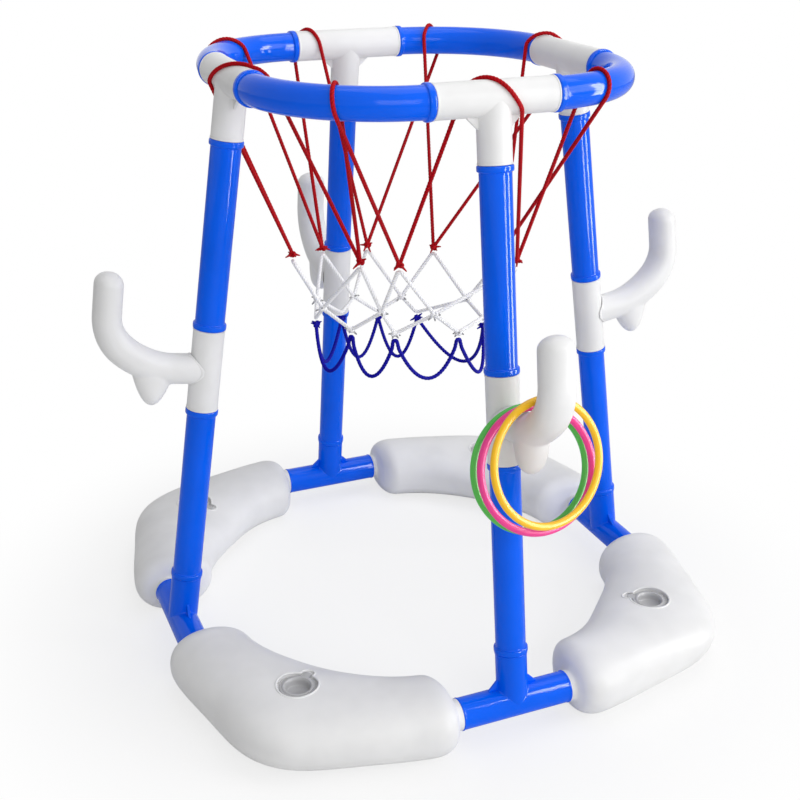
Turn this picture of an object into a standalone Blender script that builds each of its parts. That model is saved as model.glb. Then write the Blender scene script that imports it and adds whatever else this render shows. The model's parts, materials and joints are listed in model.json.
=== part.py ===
"""Floating basketball hoop: four floats and four tees make the base ring, four leaning legs
carry the hoop and its three-coloured cord net, and a hook on each leg holds throwing rings.

Units are metres, +Z is up, and the origin is on the ground under the hoop's centre.
The legs stand in the -Y, +X, +Y and -X directions and the floats fill the corners between.
"""

import math

import bmesh
import bpy
import numpy as np
from mathutils import Euler, Matrix, Vector

MM = 0.001

# Main proportions of the frame
BASE_HALF_WIDTH = 286.0 * MM      # centre of the base ring to a base tee's run
HOOP_HALF_WIDTH = 194.0 * MM      # centre of the hoop to a hoop tee's run
HOOP_RISE = 616.0 * MM            # base ring's axis to the hoop's axis
LEG_ANGLES = {"front": -90.0, "right": 0.0, "back": 90.0, "left": 180.0}
CORNER_ANGLES = {"front_left": -135.0, "front_right": -45.0, "back_right": 45.0,
                 "back_left": 135.0}

# Tubes and the fittings that they push into
TUBE_DIAMETER = 32.0 * MM
FITTING_STEP = 1.0 * MM           # fitting's outer radius beyond the tube's
SPIGOT_STEP = 1.4 * MM            # spigot's outer radius below the tube's
SPIGOT_WALL = 1.6 * MM
SPIGOT_LENGTH = 24.0 * MM
BEAD_STEP = 2.0 * MM              # bead's outer radius beyond the tube's
BEAD_WIDTH = 6.0 * MM
BEAD_ROUND = 1.6 * MM
FIT_GAP = 0.6 * MM                # all round a spigot in its socket
FACE_GAP = 0.3 * MM               # between faces that meet
TUBE_SIDES = 12
BORE_SIDES = 8

# Tees
BASE_TEE_HALF_LENGTH = 63.4 * MM
BASE_BRANCH_LENGTH = 58.0 * MM
HOOP_TEE_HALF_LENGTH = 63.4 * MM
HOOP_BRANCH_LENGTH = 61.0 * MM
BRANCH_STEP = 0.8 * MM            # branch's outer radius beyond the tube's
BRANCH_START = 4.0 * MM           # from the run's axis to where the branch begins
GUSSET_SIDE = 11.0 * MM
GUSSET_THICKNESS = 3.0 * MM
HOOK_TEE_LENGTH = 92.0 * MM
HOOK_TEE_RISE = 312.8 * MM        # base ring's axis to the hook tee's middle, along the leg

# Hooks, in the leg's own frame: outward from the leg's axis and up along it
HOOK_SPIGOT_DIAMETER = 22.0 * MM
HOOK_SPIGOT_REACH = 5.0 * MM      # inner end of the spigot, from the leg's axis
HOOK_WALL = 2.2 * MM
HOOK_ROOT_RADIUS = 16.4 * MM
HOOK_POST_REACH = 110.0 * MM      # leg's axis to the post's axis
HOOK_TIP_RISE = 105.5 * MM        # arm's axis to the top of the post
HOOK_LOWER_BEND_RADIUS = 91.0 * MM
HOOK_UPPER_BEND_RADIUS = 50.0 * MM
HOOK_BEND_SLOPE = 40.0            # degrees of rise where the one bend passes into the other
HOOK_POST_HALF_DEPTH = 15.0 * MM
HOOK_POST_HALF_WIDTH = 18.0 * MM
HOOK_ELBOW_HALF_DEPTH = 16.8 * MM
HOOK_TIP_ROUND = 13.0 * MM
HOOK_HEEL_REACH = 57.5 * MM
HOOK_HEEL_DROP = 41.3 * MM
HOOK_HEEL_HALF_DEPTH = 24.2 * MM  # at the arm's axis, from where the heel tapers
HOOK_HEEL_HALF_WIDTH = 16.5 * MM
HOOK_SIDES = 12
HOOK_BORE_SIDES = 8

# Floats
FLOAT_WALL = 1.6 * MM
FLOAT_TOP_RISE = 36.0 * MM        # base ring's axis to the top of the float's arms
FLOAT_MIDDLE_DIP = 3.0 * MM       # how much lower the top is round the filler
FLOAT_BOTTOM_DROP = 38.6 * MM     # the same below, before the underside is cut flat
FLOAT_FLAT_CUT = 3.6 * MM         # how much the flat underside takes off
FLOAT_BELLY = 71.0 * MM           # corner's middle, towards the hoop's centre
FLOAT_BACK = 69.0 * MM            # corner's middle, away from the hoop's centre
FLOAT_ARM_INNER = 55.0 * MM
FLOAT_ARM_OUTER = 38.0 * MM
FLOAT_BELLY_SPREAD = 24.0         # degrees over which the belly fades into the arms
FLOAT_BACK_SPREAD = 16.0
FLOAT_DIP_SPREAD = 14.0
FLOAT_NECK_LENGTH = 7.0 * MM
FLOAT_SHOULDER_LENGTH = 26.0 * MM
FLOAT_SIDES = 16
CAVITY_SIDES = 8

# Filler recess in a float's top, and the push plug that closes it
FILLER_INSET = 8.0 * MM           # from the float's spine towards the hoop's centre
FILLER_DIAMETER = 45.0 * MM
FILLER_DEPTH = 5.5 * MM
FILLER_HOLE_DIAMETER = 31.0 * MM
FILLER_LAND = 5.0 * MM            # thickness of the recess's floor
PLUG_RIM_GAP = 3.0 * MM           # all round the plug's flange in the recess
PLUG_FLANGE_THICKNESS = 2.6 * MM
PLUG_WALL = 2.0 * MM
PLUG_BODY_LENGTH = 9.0 * MM
PLUG_TAB_WIDTH = 9.0 * MM
PLUG_TAB_THICKNESS = 1.5 * MM
PLUG_TAB_REACH = 26.5 * MM
PLUG_TAB_DROP = 0.2 * MM          # tab's top below the flange's
TAB_SIDE_GAP = 3.0 * MM           # each side of the tab in its notch
TAB_END_GAP = 5.5 * MM            # past the tab's end, for a fingertip
PLUG_SIDES = 14

# Cord net. Every row hangs lower towards NET_LOW_SIDE, as a slack net does.
CORD_DIAMETER = 3.8 * MM
KNOT_DIAMETER = 11.0 * MM
NET_TILT = 24.0 * MM
NET_LOW_SIDE = 65.0               # degrees round the hoop
RED_DROP = 205.0 * MM             # each drop is measured from the hoop's axis
WHITE_DROP = 264.0 * MM
LOWER_DROP = 289.0 * MM
TAIL_DROP = 341.0 * MM
# Where each knot hangs: degrees round the hoop, and reach from its centre in millimetres
RED_KNOTS = ((314, 127), (354, 111), (51, 109), (92, 118),
             (126, 118), (163, 130), (220, 113), (242, 118))
WHITE_KNOTS = ((262, 104), (322, 104), (20, 96), (72, 96),
               (108, 100), (140, 112), (186, 108), (230, 100))
LOWER_KNOTS = ((282, 94), (338, 86), (60, 90), (90, 94),
               (122, 97), (160, 106), (204, 92), (238, 95))
WHITE_TIED = (0, 6, 7)            # the lower knots that are tied in white, not in blue
# Each red loop: degrees where it lies on the hoop's inner side and the knot it goes down
# to from there, then the same for the hoop's outer side
LOOPS = ((264, 7, 276.5, 0), (305, 0, 301, 1), (20, 1, 10, 2), (63, 2, 57, 3),
         (101.5, 3, 107, 4), (132, 4, 141, 5), (199, 6, 173, 5), (228, 6, 230, 7))
LOOP_STEPS = 4
TAIL_STEPS = 6
BIGHT_HALF_WIDTH = 2.0 * MM      # half the flat top where a cord turns back
CORD_SIDES = 6

# Throwing rings on the front hook
RING_DIAMETER = 128.0 * MM
RING_THICKNESS = 7.6 * MM
RING_GAP = 0.6 * MM               # left under a ring, which also hangs askew on the arm
RING_SIDES = 8
RING_STEPS = 24
RING_PLACES = {                   # outward from the hook tee, turn about the vertical, lean of
    "green": (39.5 * MM, 0.0, 20.0, 0.0 * MM),      # the foot outward, and how far aside a
    "pink": (51.5 * MM, 1.5, 21.0, 0.5 * MM),       # turned ring settles on the rising arm
    "yellow": (73.0 * MM, 8.0, 17.0, 2.0 * MM),
}

# Sizes that follow from the ones above
TUBE_RADIUS = TUBE_DIAMETER / 2
FITTING_RADIUS = TUBE_RADIUS + FITTING_STEP
SPIGOT_RADIUS = TUBE_RADIUS - SPIGOT_STEP
SOCKET_RADIUS = SPIGOT_RADIUS + FIT_GAP
BEAD_RADIUS = TUBE_RADIUS + BEAD_STEP
NECK_RADIUS = TUBE_RADIUS
BRANCH_RADIUS = TUBE_RADIUS + BRANCH_STEP
BASE_AXIS_HEIGHT = FLOAT_BOTTOM_DROP - FLOAT_FLAT_CUT
HOOP_HEIGHT = BASE_AXIS_HEIGHT + HOOP_RISE
LEG_LENGTH = math.hypot(HOOP_RISE, BASE_HALF_WIDTH - HOOP_HALF_WIDTH)
LEG_LEAN = math.atan2(BASE_HALF_WIDTH - HOOP_HALF_WIDTH, HOOP_RISE)
BASE_CORNER_RADIUS = BASE_HALF_WIDTH - BASE_TEE_HALF_LENGTH
HOOP_CORNER_RADIUS = HOOP_HALF_WIDTH - HOOP_TEE_HALF_LENGTH
CORD_RADIUS = CORD_DIAMETER / 2
KNOT_RADIUS = KNOT_DIAMETER / 2
PLUG_FLANGE_DIAMETER = FILLER_DIAMETER - 2 * PLUG_RIM_GAP
PLUG_TOP_DEPTH = FILLER_DEPTH - FACE_GAP - PLUG_FLANGE_THICKNESS
NOTCH_DIAMETER = PLUG_TAB_WIDTH + 2 * TAB_SIDE_GAP
NOTCH_REACH = PLUG_TAB_REACH + TAB_END_GAP - NOTCH_DIAMETER / 2
NOTCH_DEPTH = PLUG_TOP_DEPTH + PLUG_TAB_THICKNESS + FIT_GAP
CUT_MARGIN = 5.0 * MM


# Scene housekeeping

def clear_scene():
    for old in list(bpy.data.objects):
        bpy.data.objects.remove(old, do_unlink=True)


def new_collection(name):
    collection = bpy.data.collections.new(name)
    bpy.context.scene.collection.children.link(collection)
    return collection


def plastic(name, colour, roughness):
    material = bpy.data.materials.new(name)
    material.use_nodes = True
    shader = material.node_tree.nodes["Principled BSDF"]
    shader.inputs["Base Color"].default_value = (*colour, 1.0)
    shader.inputs["Roughness"].default_value = roughness
    shader.inputs["Metallic"].default_value = 0.0
    return material


def link_object(name, mesh, collection):
    obj = bpy.data.objects.new(name, mesh)
    collection.objects.link(obj)
    return obj


def place_copy(name, mesh, material, matrix):
    """Put one finished mesh in the part's collection, under its node name."""
    if not mesh.materials:
        mesh.materials.append(material)
    obj = link_object(name, mesh, PARTS)
    obj.matrix_world = matrix
    return obj


# Solid building blocks

def finished_mesh(obj, merge=0.02 * MM):
    """The object's mesh with its modifiers applied; the object is removed."""
    bpy.context.view_layer.update()
    graph = bpy.context.evaluated_depsgraph_get()
    mesh = bpy.data.meshes.new_from_object(obj.evaluated_get(graph))
    mesh.transform(obj.matrix_world)
    body = bmesh.new()
    body.from_mesh(mesh)
    bmesh.ops.remove_doubles(body, verts=body.verts, dist=merge)
    bmesh.ops.dissolve_degenerate(body, edges=body.edges, dist=merge)
    body.to_mesh(mesh)
    body.free()
    bpy.data.objects.remove(obj, do_unlink=True)
    return mesh


def cutter(mesh):
    obj = link_object("cutter", mesh, CUTTERS)
    obj.hide_render = True
    obj.display_type = "WIRE"
    return obj


def boolean(mesh, tools, operation):
    """Apply one Boolean after another to a mesh, and return the result as a new mesh."""
    obj = cutter(mesh)
    helpers = [cutter(tool) for tool in tools]
    for helper in helpers:
        step = obj.modifiers.new("cut", "BOOLEAN")
        step.operation = operation
        step.solver = "EXACT"
        step.object = helper
    result = finished_mesh(obj)
    for helper in helpers:
        bpy.data.objects.remove(helper, do_unlink=True)
    return result


def join_all(mesh, tools):
    return boolean(mesh, tools, "UNION")


def cut_all(mesh, tools):
    return boolean(mesh, tools, "DIFFERENCE")


def turned(profile, sides, closed):
    """Turn a profile of (radius, height) points, listed down its outer side, about Z."""
    mesh = bpy.data.meshes.new("profile")
    points = [(radius, 0.0, height) for radius, height in profile]
    count = len(points)
    edges = [(i, i + 1) for i in range(count - 1)]
    if closed:
        edges.append((count - 1, 0))
    mesh.from_pydata(points, edges, [])
    obj = link_object("turned", mesh, CUTTERS)
    screw = obj.modifiers.new("turn", "SCREW")
    screw.axis = "Z"
    screw.steps = sides
    screw.render_steps = sides
    screw.use_merge_vertices = True
    screw.merge_threshold = 0.01 * MM
    screw.use_normal_calculate = False
    return finished_mesh(obj)


def rod(radius, start, end, sides, turn=0.0):
    """A cylinder from one point to another, turned about itself by part of a facet."""
    start, end = Vector(start), Vector(end)
    along = end - start
    body = bmesh.new()
    bmesh.ops.create_cone(body, cap_ends=True, segments=sides, radius1=radius,
                          radius2=radius, depth=along.length)
    spin = Matrix.Rotation(turn * 2 * math.pi / sides, 4, "Z")
    aim = along.to_track_quat("Z", "Y").to_matrix().to_4x4()
    body.transform(Matrix.Translation((start + end) / 2) @ aim @ spin)
    mesh = bpy.data.meshes.new("rod")
    body.to_mesh(mesh)
    body.free()
    return mesh


def tube_along(points, radii, sides):
    """A capped tube through points, with its own radius at each one."""
    curve = bpy.data.curves.new("path", "CURVE")
    curve.dimensions = "3D"
    curve.bevel_depth = 1.0
    curve.bevel_resolution = sides // 2 - 2
    curve.use_fill_caps = True
    spline = curve.splines.new("POLY")
    spline.points.add(len(points) - 1)
    for spot, point, radius in zip(spline.points, points, radii):
        spot.co = (*point, 1.0)
        spot.radius = radius
    return finished_mesh(link_object("tube", curve, CUTTERS))


def loft(sections):
    """Skin a row of equal-count sections, each an (n, 3) array, and close both ends."""
    count = len(sections[0])
    body = bmesh.new()
    rings = [[body.verts.new(point) for point in section] for section in sections]
    for lower, upper in zip(rings[:-1], rings[1:]):
        for i in range(count):
            j = (i + 1) % count
            body.faces.new((lower[i], lower[j], upper[j], upper[i]))
    body.faces.new(list(reversed(rings[0])))
    body.faces.new(rings[-1])
    bmesh.ops.recalc_face_normals(body, faces=body.faces)
    mesh = bpy.data.meshes.new("loft")
    body.to_mesh(mesh)
    body.free()
    return mesh


def rounded_section(half_width, half_height, sides, power=2.0):
    """Superellipse |x/w|^p + |y/h|^p = 1 as an (n, 2) array, its first point at +x."""
    angle = np.arange(sides) * 2 * np.pi / sides
    across = np.sign(np.cos(angle)) * np.abs(np.cos(angle)) ** (2 / power)
    upward = np.sign(np.sin(angle)) * np.abs(np.sin(angle)) ** (2 / power)
    return np.stack([across * half_width, upward * half_height], axis=1)


def blob(radius, centre):
    """A knot's bulk: eight faces, with a corner at its top and at its bottom."""
    body = bmesh.new()
    bmesh.ops.create_uvsphere(body, u_segments=4, v_segments=2, radius=radius)
    body.transform(Matrix.Translation(centre) @ Matrix.Rotation(0.5, 4, "Z"))
    mesh = bpy.data.meshes.new("blob")
    body.to_mesh(mesh)
    body.free()
    return mesh


def box(low, high):
    low, high = Vector(low), Vector(high)
    body = bmesh.new()
    bmesh.ops.create_cube(body, size=1.0)
    size = Matrix.Diagonal((*(high - low), 1.0))
    body.transform(Matrix.Translation((low + high) / 2) @ size)
    mesh = bpy.data.meshes.new("box")
    body.to_mesh(mesh)
    body.free()
    return mesh


# Places

def turn_z(degrees):
    return Matrix.Rotation(math.radians(degrees), 4, "Z")


def leg_frame(angle):
    """Origin on the base tee's axis, +Z up along the leg and +X outward from it."""
    foot = Matrix.Translation((BASE_HALF_WIDTH, 0.0, BASE_AXIS_HEIGHT))
    return turn_z(angle) @ foot @ Matrix.Rotation(-LEG_LEAN, 4, "Y")


def along_leg(angle, rise):
    return leg_frame(angle) @ Matrix.Translation((0.0, 0.0, rise))


# Tubes

def bead_profile(seat, way):
    """(radius, place) points from a tube's spigot tip to past its bead, along the way."""
    face = seat + way * FACE_GAP
    top = face + way * BEAD_WIDTH
    return [
        (SPIGOT_RADIUS, seat - way * SPIGOT_LENGTH),
        (SPIGOT_RADIUS, face),
        (BEAD_RADIUS, face),
        (BEAD_RADIUS, top - way * BEAD_ROUND),
        (TUBE_RADIUS, top),
    ]


def straight_tube(low_seat, high_seat):
    """A leg tube between two fittings whose ends lie at the two seats, hollow throughout."""
    upper = bead_profile(high_seat, -1.0)
    lower = bead_profile(low_seat, 1.0)
    bore = SPIGOT_RADIUS - SPIGOT_WALL
    inside = [(bore, low_seat - SPIGOT_LENGTH), (bore, high_seat + SPIGOT_LENGTH)]
    return turned(upper + list(reversed(lower)) + inside, TUBE_SIDES, closed=True)


def hoop_point(distance):
    """A point on a hoop corner's axis, at a distance past the end of the tee on +X."""
    if distance < 0.0:
        return Vector((HOOP_HALF_WIDTH, HOOP_TEE_HALF_LENGTH + distance, 0.0))
    angle = distance / HOOP_CORNER_RADIUS
    spoke = Vector((math.cos(angle), math.sin(angle), 0.0))
    centre = Vector((HOOP_TEE_HALF_LENGTH, HOOP_TEE_HALF_LENGTH, 0.0))
    return centre + spoke * HOOP_CORNER_RADIUS


def hoop_path(places, middle_steps):
    """Points along a corner: the given distances, even steps, then the same mirrored."""
    arc = HOOP_CORNER_RADIUS * math.pi / 2
    start = places[-1]
    middle = [start + (arc - 2 * start) * i / middle_steps for i in range(1, middle_steps)]
    first = [hoop_point(place) for place in places]
    last = [Vector((point.y, point.x, 0.0)) for point in reversed(first)]
    return first + [hoop_point(place) for place in middle] + last


def hoop_corner():
    """One quarter bend of the hoop, between a tee on +X and a tee on +Y, about the origin."""
    steps = 5
    sliver = 0.05 * MM
    profile = bead_profile(0.0, 1.0)
    places = [place + (sliver if i == 2 else 0.0) for i, (_, place) in enumerate(profile)]
    radii = [radius for radius, _ in profile]
    outer_radii = radii + [TUBE_RADIUS] * (steps - 1) + list(reversed(radii))
    outer = tube_along(hoop_path(places, steps), outer_radii, TUBE_SIDES)
    bore_path = hoop_path([-SPIGOT_LENGTH - CUT_MARGIN, 0.0], steps)
    bore_radius = SPIGOT_RADIUS - SPIGOT_WALL
    bore = tube_along(bore_path, [bore_radius] * len(bore_path), BORE_SIDES)
    return cut_all(outer, [bore])


# Fittings

def gusset(side_y, way_z):
    """A small triangular web in the corner between a tee's run and its branch."""
    body = bmesh.new()
    root = FITTING_RADIUS - FITTING_STEP
    tip = FITTING_RADIUS + GUSSET_SIDE
    outline = [(side_y * root, way_z * root), (side_y * tip, way_z * root),
               (side_y * root, way_z * tip)]
    half = GUSSET_THICKNESS / 2
    near = [body.verts.new((-half, y, z)) for y, z in outline]
    face = body.faces.new(near)
    raised = bmesh.ops.extrude_face_region(body, geom=[face])
    moved = [item for item in raised["geom"] if isinstance(item, bmesh.types.BMVert)]
    bmesh.ops.translate(body, verts=moved, vec=(GUSSET_THICKNESS, 0.0, 0.0))
    bmesh.ops.recalc_face_normals(body, faces=body.faces)
    mesh = bpy.data.meshes.new("gusset")
    body.to_mesh(mesh)
    body.free()
    return mesh


def tee(half_length, branch_length, way):
    """A tee whose run lies along Y and whose branch goes up (+1) or down (-1) along Z."""
    inside = (0.0, 0.0, way * BRANCH_START)
    branch_end = (0.0, 0.0, way * branch_length)
    branch_cut = (0.0, 0.0, way * (branch_length + CUT_MARGIN))
    run_end = (0.0, half_length, 0.0)
    run_start = (0.0, -half_length, 0.0)
    cut_end = (0.0, half_length + CUT_MARGIN, 0.0)
    cut_start = (0.0, -half_length - CUT_MARGIN, 0.0)
    run = rod(FITTING_RADIUS, run_start, run_end, TUBE_SIDES)
    branch = rod(BRANCH_RADIUS, inside, branch_end, TUBE_SIDES, 0.3)
    solid = join_all(run, [branch, gusset(1.0, way), gusset(-1.0, way)])
    run_bore = rod(SOCKET_RADIUS, cut_start, cut_end, TUBE_SIDES)
    branch_bore = rod(SOCKET_RADIUS, inside, branch_cut, TUBE_SIDES, 0.3)
    return cut_all(solid, [run_bore, branch_bore])


def hook_tee():
    """A sleeve on the leg with a round hole in its side for the hook's spigot."""
    half = HOOK_TEE_LENGTH / 2
    profile = [(FITTING_RADIUS, half), (FITTING_RADIUS, -half),
               (SOCKET_RADIUS, -half), (SOCKET_RADIUS, half)]
    sleeve = turned(profile, TUBE_SIDES, closed=True)
    hole_radius = HOOK_SPIGOT_DIAMETER / 2 + FIT_GAP
    reach = FITTING_RADIUS + CUT_MARGIN
    hole = rod(hole_radius, (0.0, 0.0, 0.0), (reach, 0.0, 0.0), HOOK_SIDES)
    return cut_all(sleeve, [hole])


# Hooks

def hook_spine():
    """(outward, up, turn, half depth, half width) stations from the arm's root to its tip.

    The arm leaves the tee square to the leg. A wide bend lifts it to HOOK_BEND_SLOPE, a
    tighter one turns it up, and the post runs parallel to the leg to a rounded tip.
    """
    slope = math.radians(HOOK_BEND_SLOPE)
    join_out = HOOK_POST_REACH - HOOK_UPPER_BEND_RADIUS * (1 - math.sin(slope))
    join_up = HOOK_LOWER_BEND_RADIUS * (1 - math.cos(slope))
    stations = [(0.0, 0.0, 0.0, HOOK_ROOT_RADIUS, HOOK_ROOT_RADIUS)]
    for i in range(4):
        share = i / 3
        angle = slope * share
        outward = join_out - HOOK_LOWER_BEND_RADIUS * (math.sin(slope) - math.sin(angle))
        up = HOOK_LOWER_BEND_RADIUS * (1 - math.cos(angle))
        grown = min(1.0, 1.5 * share)
        depth = HOOK_ROOT_RADIUS + (HOOK_ELBOW_HALF_DEPTH - HOOK_ROOT_RADIUS) * grown
        width = HOOK_ROOT_RADIUS + (HOOK_POST_HALF_WIDTH - HOOK_ROOT_RADIUS) * grown
        stations.append((outward, up, angle, depth, width))
    for i in range(1, 4):
        share = i / 3
        angle = slope + (math.pi / 2 - slope) * share
        outward = join_out + HOOK_UPPER_BEND_RADIUS * (math.sin(angle) - math.sin(slope))
        up = join_up + HOOK_UPPER_BEND_RADIUS * (math.cos(slope) - math.cos(angle))
        depth = HOOK_ELBOW_HALF_DEPTH + (HOOK_POST_HALF_DEPTH - HOOK_ELBOW_HALF_DEPTH) * share
        stations.append((outward, up, angle, depth, HOOK_POST_HALF_WIDTH))
    for share in (0.0, 0.5, 0.8, 0.97):
        up = HOOK_TIP_RISE - HOOK_TIP_ROUND * (1 - share)
        closing = math.sqrt(1 - share ** 2)
        stations.append((HOOK_POST_REACH, up, math.pi / 2,
                         HOOK_POST_HALF_DEPTH * closing, HOOK_POST_HALF_WIDTH * closing))
    return stations


def hook_sections(stations, inset, sides, power):
    """Turn stations into rings: depth lies in the hook's plane and width across it."""
    rings = []
    for outward, up, turn, depth, width in stations:
        ring = rounded_section(max(depth - inset, inset / 4), max(width - inset, inset / 4),
                               sides, power)
        normal = np.array([-math.sin(turn), 0.0, math.cos(turn)])
        sideways = np.array([0.0, 1.0, 0.0])
        centre = np.array([outward, 0.0, up])
        rings.append(centre + ring[:, :1] * normal + ring[:, 1:] * sideways)
    return rings


def hook_heel():
    """The rounded heel under the bend: rings that taper downward to a closed, domed end."""
    rings = []
    for share in (0.0, 0.35, 0.62, 0.82, 0.95, 0.995):
        depth = HOOK_HEEL_HALF_DEPTH * math.sqrt(1 - share)
        width = HOOK_HEEL_HALF_WIDTH * math.sqrt(1 - share ** 4)
        ring = rounded_section(depth, min(width, 0.95 * HOOK_HEEL_HALF_WIDTH), HOOK_SIDES)
        drop = np.full((HOOK_SIDES, 1), -HOOK_HEEL_DROP * share)
        rings.append(np.hstack([ring[:, :1] + HOOK_HEEL_REACH, ring[:, 1:], drop]))
    return loft(rings)


def hook():
    """A hollow blow-moulded hook, open only at its spigot, about the tee's middle."""
    stations = hook_spine()
    arm = loft(hook_sections(stations, 0.0, HOOK_SIDES, 2.2))
    solid = join_all(arm, [hook_heel()])
    clear = FITTING_RADIUS + FACE_GAP
    saddle = rod(clear, (0.0, 0.0, -HOOK_TEE_LENGTH), (0.0, 0.0, HOOK_TEE_LENGTH), 2 * TUBE_SIDES)
    solid = cut_all(solid, [saddle])
    spigot_radius = HOOK_SPIGOT_DIAMETER / 2
    spigot = rod(spigot_radius, (HOOK_SPIGOT_REACH, 0.0, 0.0), (clear + CUT_MARGIN, 0.0, 0.0),
                 HOOK_SIDES)
    solid = join_all(solid, [spigot])
    bore = spigot_radius - HOOK_WALL
    hollow = [(0.0, 0.0, 0.0, bore + HOOK_WALL, bore + HOOK_WALL),
              (clear + CUT_MARGIN, 0.0, 0.0, bore + HOOK_WALL, bore + HOOK_WALL)]
    hollow += stations[1:-3]
    cavity = loft(hook_sections(hollow, HOOK_WALL, HOOK_BORE_SIDES, 2.0))
    return cut_all(solid, [cavity])


# Floats

def float_half_sizes(angle):
    """Inner and outer half widths of a float's body at an angle from the corner's middle."""
    belly = math.exp(-(angle / FLOAT_BELLY_SPREAD) ** 2)
    back = math.exp(-(angle / FLOAT_BACK_SPREAD) ** 2)
    inner = FLOAT_ARM_INNER + (FLOAT_BELLY - FLOAT_ARM_INNER) * belly
    outer = FLOAT_ARM_OUTER + (FLOAT_BACK - FLOAT_ARM_OUTER) * back
    return inner, outer


def float_section(angle, fullness, inset, sides):
    """One cross-section; fullness 0 is the round neck and 1 the full body."""
    inner, outer = float_half_sizes(angle)
    inner = NECK_RADIUS + (inner - NECK_RADIUS) * fullness - inset
    outer = NECK_RADIUS + (outer - NECK_RADIUS) * fullness - inset
    dip = FLOAT_MIDDLE_DIP * math.exp(-(angle / FLOAT_DIP_SPREAD) ** 2)
    top = NECK_RADIUS + (FLOAT_TOP_RISE - dip - NECK_RADIUS) * fullness - inset
    bottom = NECK_RADIUS + (FLOAT_BOTTOM_DROP - NECK_RADIUS) * fullness - inset
    ring = rounded_section(1.0, 1.0, sides, 2.0 + 0.2 * fullness)
    reach = BASE_CORNER_RADIUS + (outer - inner) / 2 + ring[:, 0] * (inner + outer) / 2
    height = np.where(ring[:, 1] > 0, ring[:, 1] * top, ring[:, 1] * bottom)
    height = np.maximum(height, -BASE_AXIS_HEIGHT + inset)
    centre = BASE_TEE_HALF_LENGTH * math.sqrt(2)
    turn = math.radians(angle)
    return np.stack([centre + reach * math.cos(turn), reach * math.sin(turn), height], axis=1)


def neck_section(radius, beyond, sides):
    """A round section square to the base tee's run, a given way past the float's end."""
    ring = rounded_section(radius, radius, sides)
    centre = BASE_TEE_HALF_LENGTH * math.sqrt(2)
    turn = math.radians(45.0)
    spoke = np.array([math.cos(turn), math.sin(turn), 0.0])
    forward = np.array([-math.sin(turn), math.cos(turn), 0.0])
    middle = np.array([centre, 0.0, 0.0]) + BASE_CORNER_RADIUS * spoke + beyond * forward
    upward = np.array([0.0, 0.0, 1.0])
    return middle + ring[:, :1] * spoke + ring[:, 1:] * upward


def float_stations():
    """(angle, fullness) pairs from the corner's middle out to the start of the neck."""
    def degrees(length):
        return math.degrees(length / BASE_CORNER_RADIUS)

    neck = 45.0 - degrees(FLOAT_NECK_LENGTH)
    shoulder = neck - degrees(FLOAT_SHOULDER_LENGTH)
    stations = [(shoulder * share, 1.0) for share in (0.0, 0.3, 0.62, 1.0)]
    for share in (0.45, 0.8, 0.96, 1.0):
        fullness = (1 - share ** 2.3) ** (1 / 2.3)
        stations.append((shoulder + (neck - shoulder) * share, fullness))
    return stations


def float_rings(inset, sides, stations):
    half = [float_section(angle, fullness, inset, sides) for angle, fullness in stations]
    other = [float_section(-angle, fullness, inset, sides) for angle, fullness in stations[1:]]
    return list(reversed(other)), half


def mirrored(ring):
    """The same ring on the far side of the corner's middle plane."""
    return ring * np.array([1.0, -1.0, 1.0])


def float_body():
    """A hollow float with a neck and spigot at each end and an open filler recess on top."""
    stations = float_stations()
    other, half = float_rings(0.0, FLOAT_SIDES, stations)
    ends = [
        neck_section(NECK_RADIUS, -FACE_GAP, FLOAT_SIDES),
        neck_section(SPIGOT_RADIUS, -FACE_GAP + 0.05 * MM, FLOAT_SIDES),
        neck_section(SPIGOT_RADIUS, SPIGOT_LENGTH, FLOAT_SIDES),
    ]
    outer = loft([mirrored(ring) for ring in reversed(ends)] + other + half + ends)

    middle_top = FLOAT_TOP_RISE - FLOAT_MIDDLE_DIP
    inner_stations = [stations[i] for i in (0, 1, 2, 3, 5)]
    inner_other, inner_half = float_rings(FLOAT_WALL, CAVITY_SIDES, inner_stations)
    cavity = loft(inner_other + inner_half)

    filler_x = BASE_TEE_HALF_LENGTH * math.sqrt(2) + BASE_CORNER_RADIUS - FILLER_INSET
    floor = middle_top - FILLER_DEPTH
    above = middle_top + CUT_MARGIN
    boss_radius = FILLER_DIAMETER / 2 + FLOAT_WALL
    notch_x = filler_x - NOTCH_REACH
    notch_boss = NOTCH_DIAMETER / 2 + FLOAT_WALL
    boss_low = floor - FILLER_LAND
    boss = rod(boss_radius, (filler_x, 0.0, boss_low), (filler_x, 0.0, above), PLUG_SIDES)
    tab_boss = rod(notch_boss, (notch_x, 0.0, boss_low), (notch_x, 0.0, above), PLUG_SIDES)
    cavity = cut_all(cavity, [boss, tab_boss])

    recess = rod(FILLER_DIAMETER / 2, (filler_x, 0.0, floor), (filler_x, 0.0, above), PLUG_SIDES)
    notch_floor = middle_top - NOTCH_DEPTH
    notch = rod(NOTCH_DIAMETER / 2, (notch_x, 0.0, notch_floor), (notch_x, 0.0, above), PLUG_SIDES)
    hole = rod(FILLER_HOLE_DIAMETER / 2, (filler_x, 0.0, 0.0), (filler_x, 0.0, above), PLUG_SIDES)
    return cut_all(outer, [cavity, recess, notch, hole])


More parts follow.
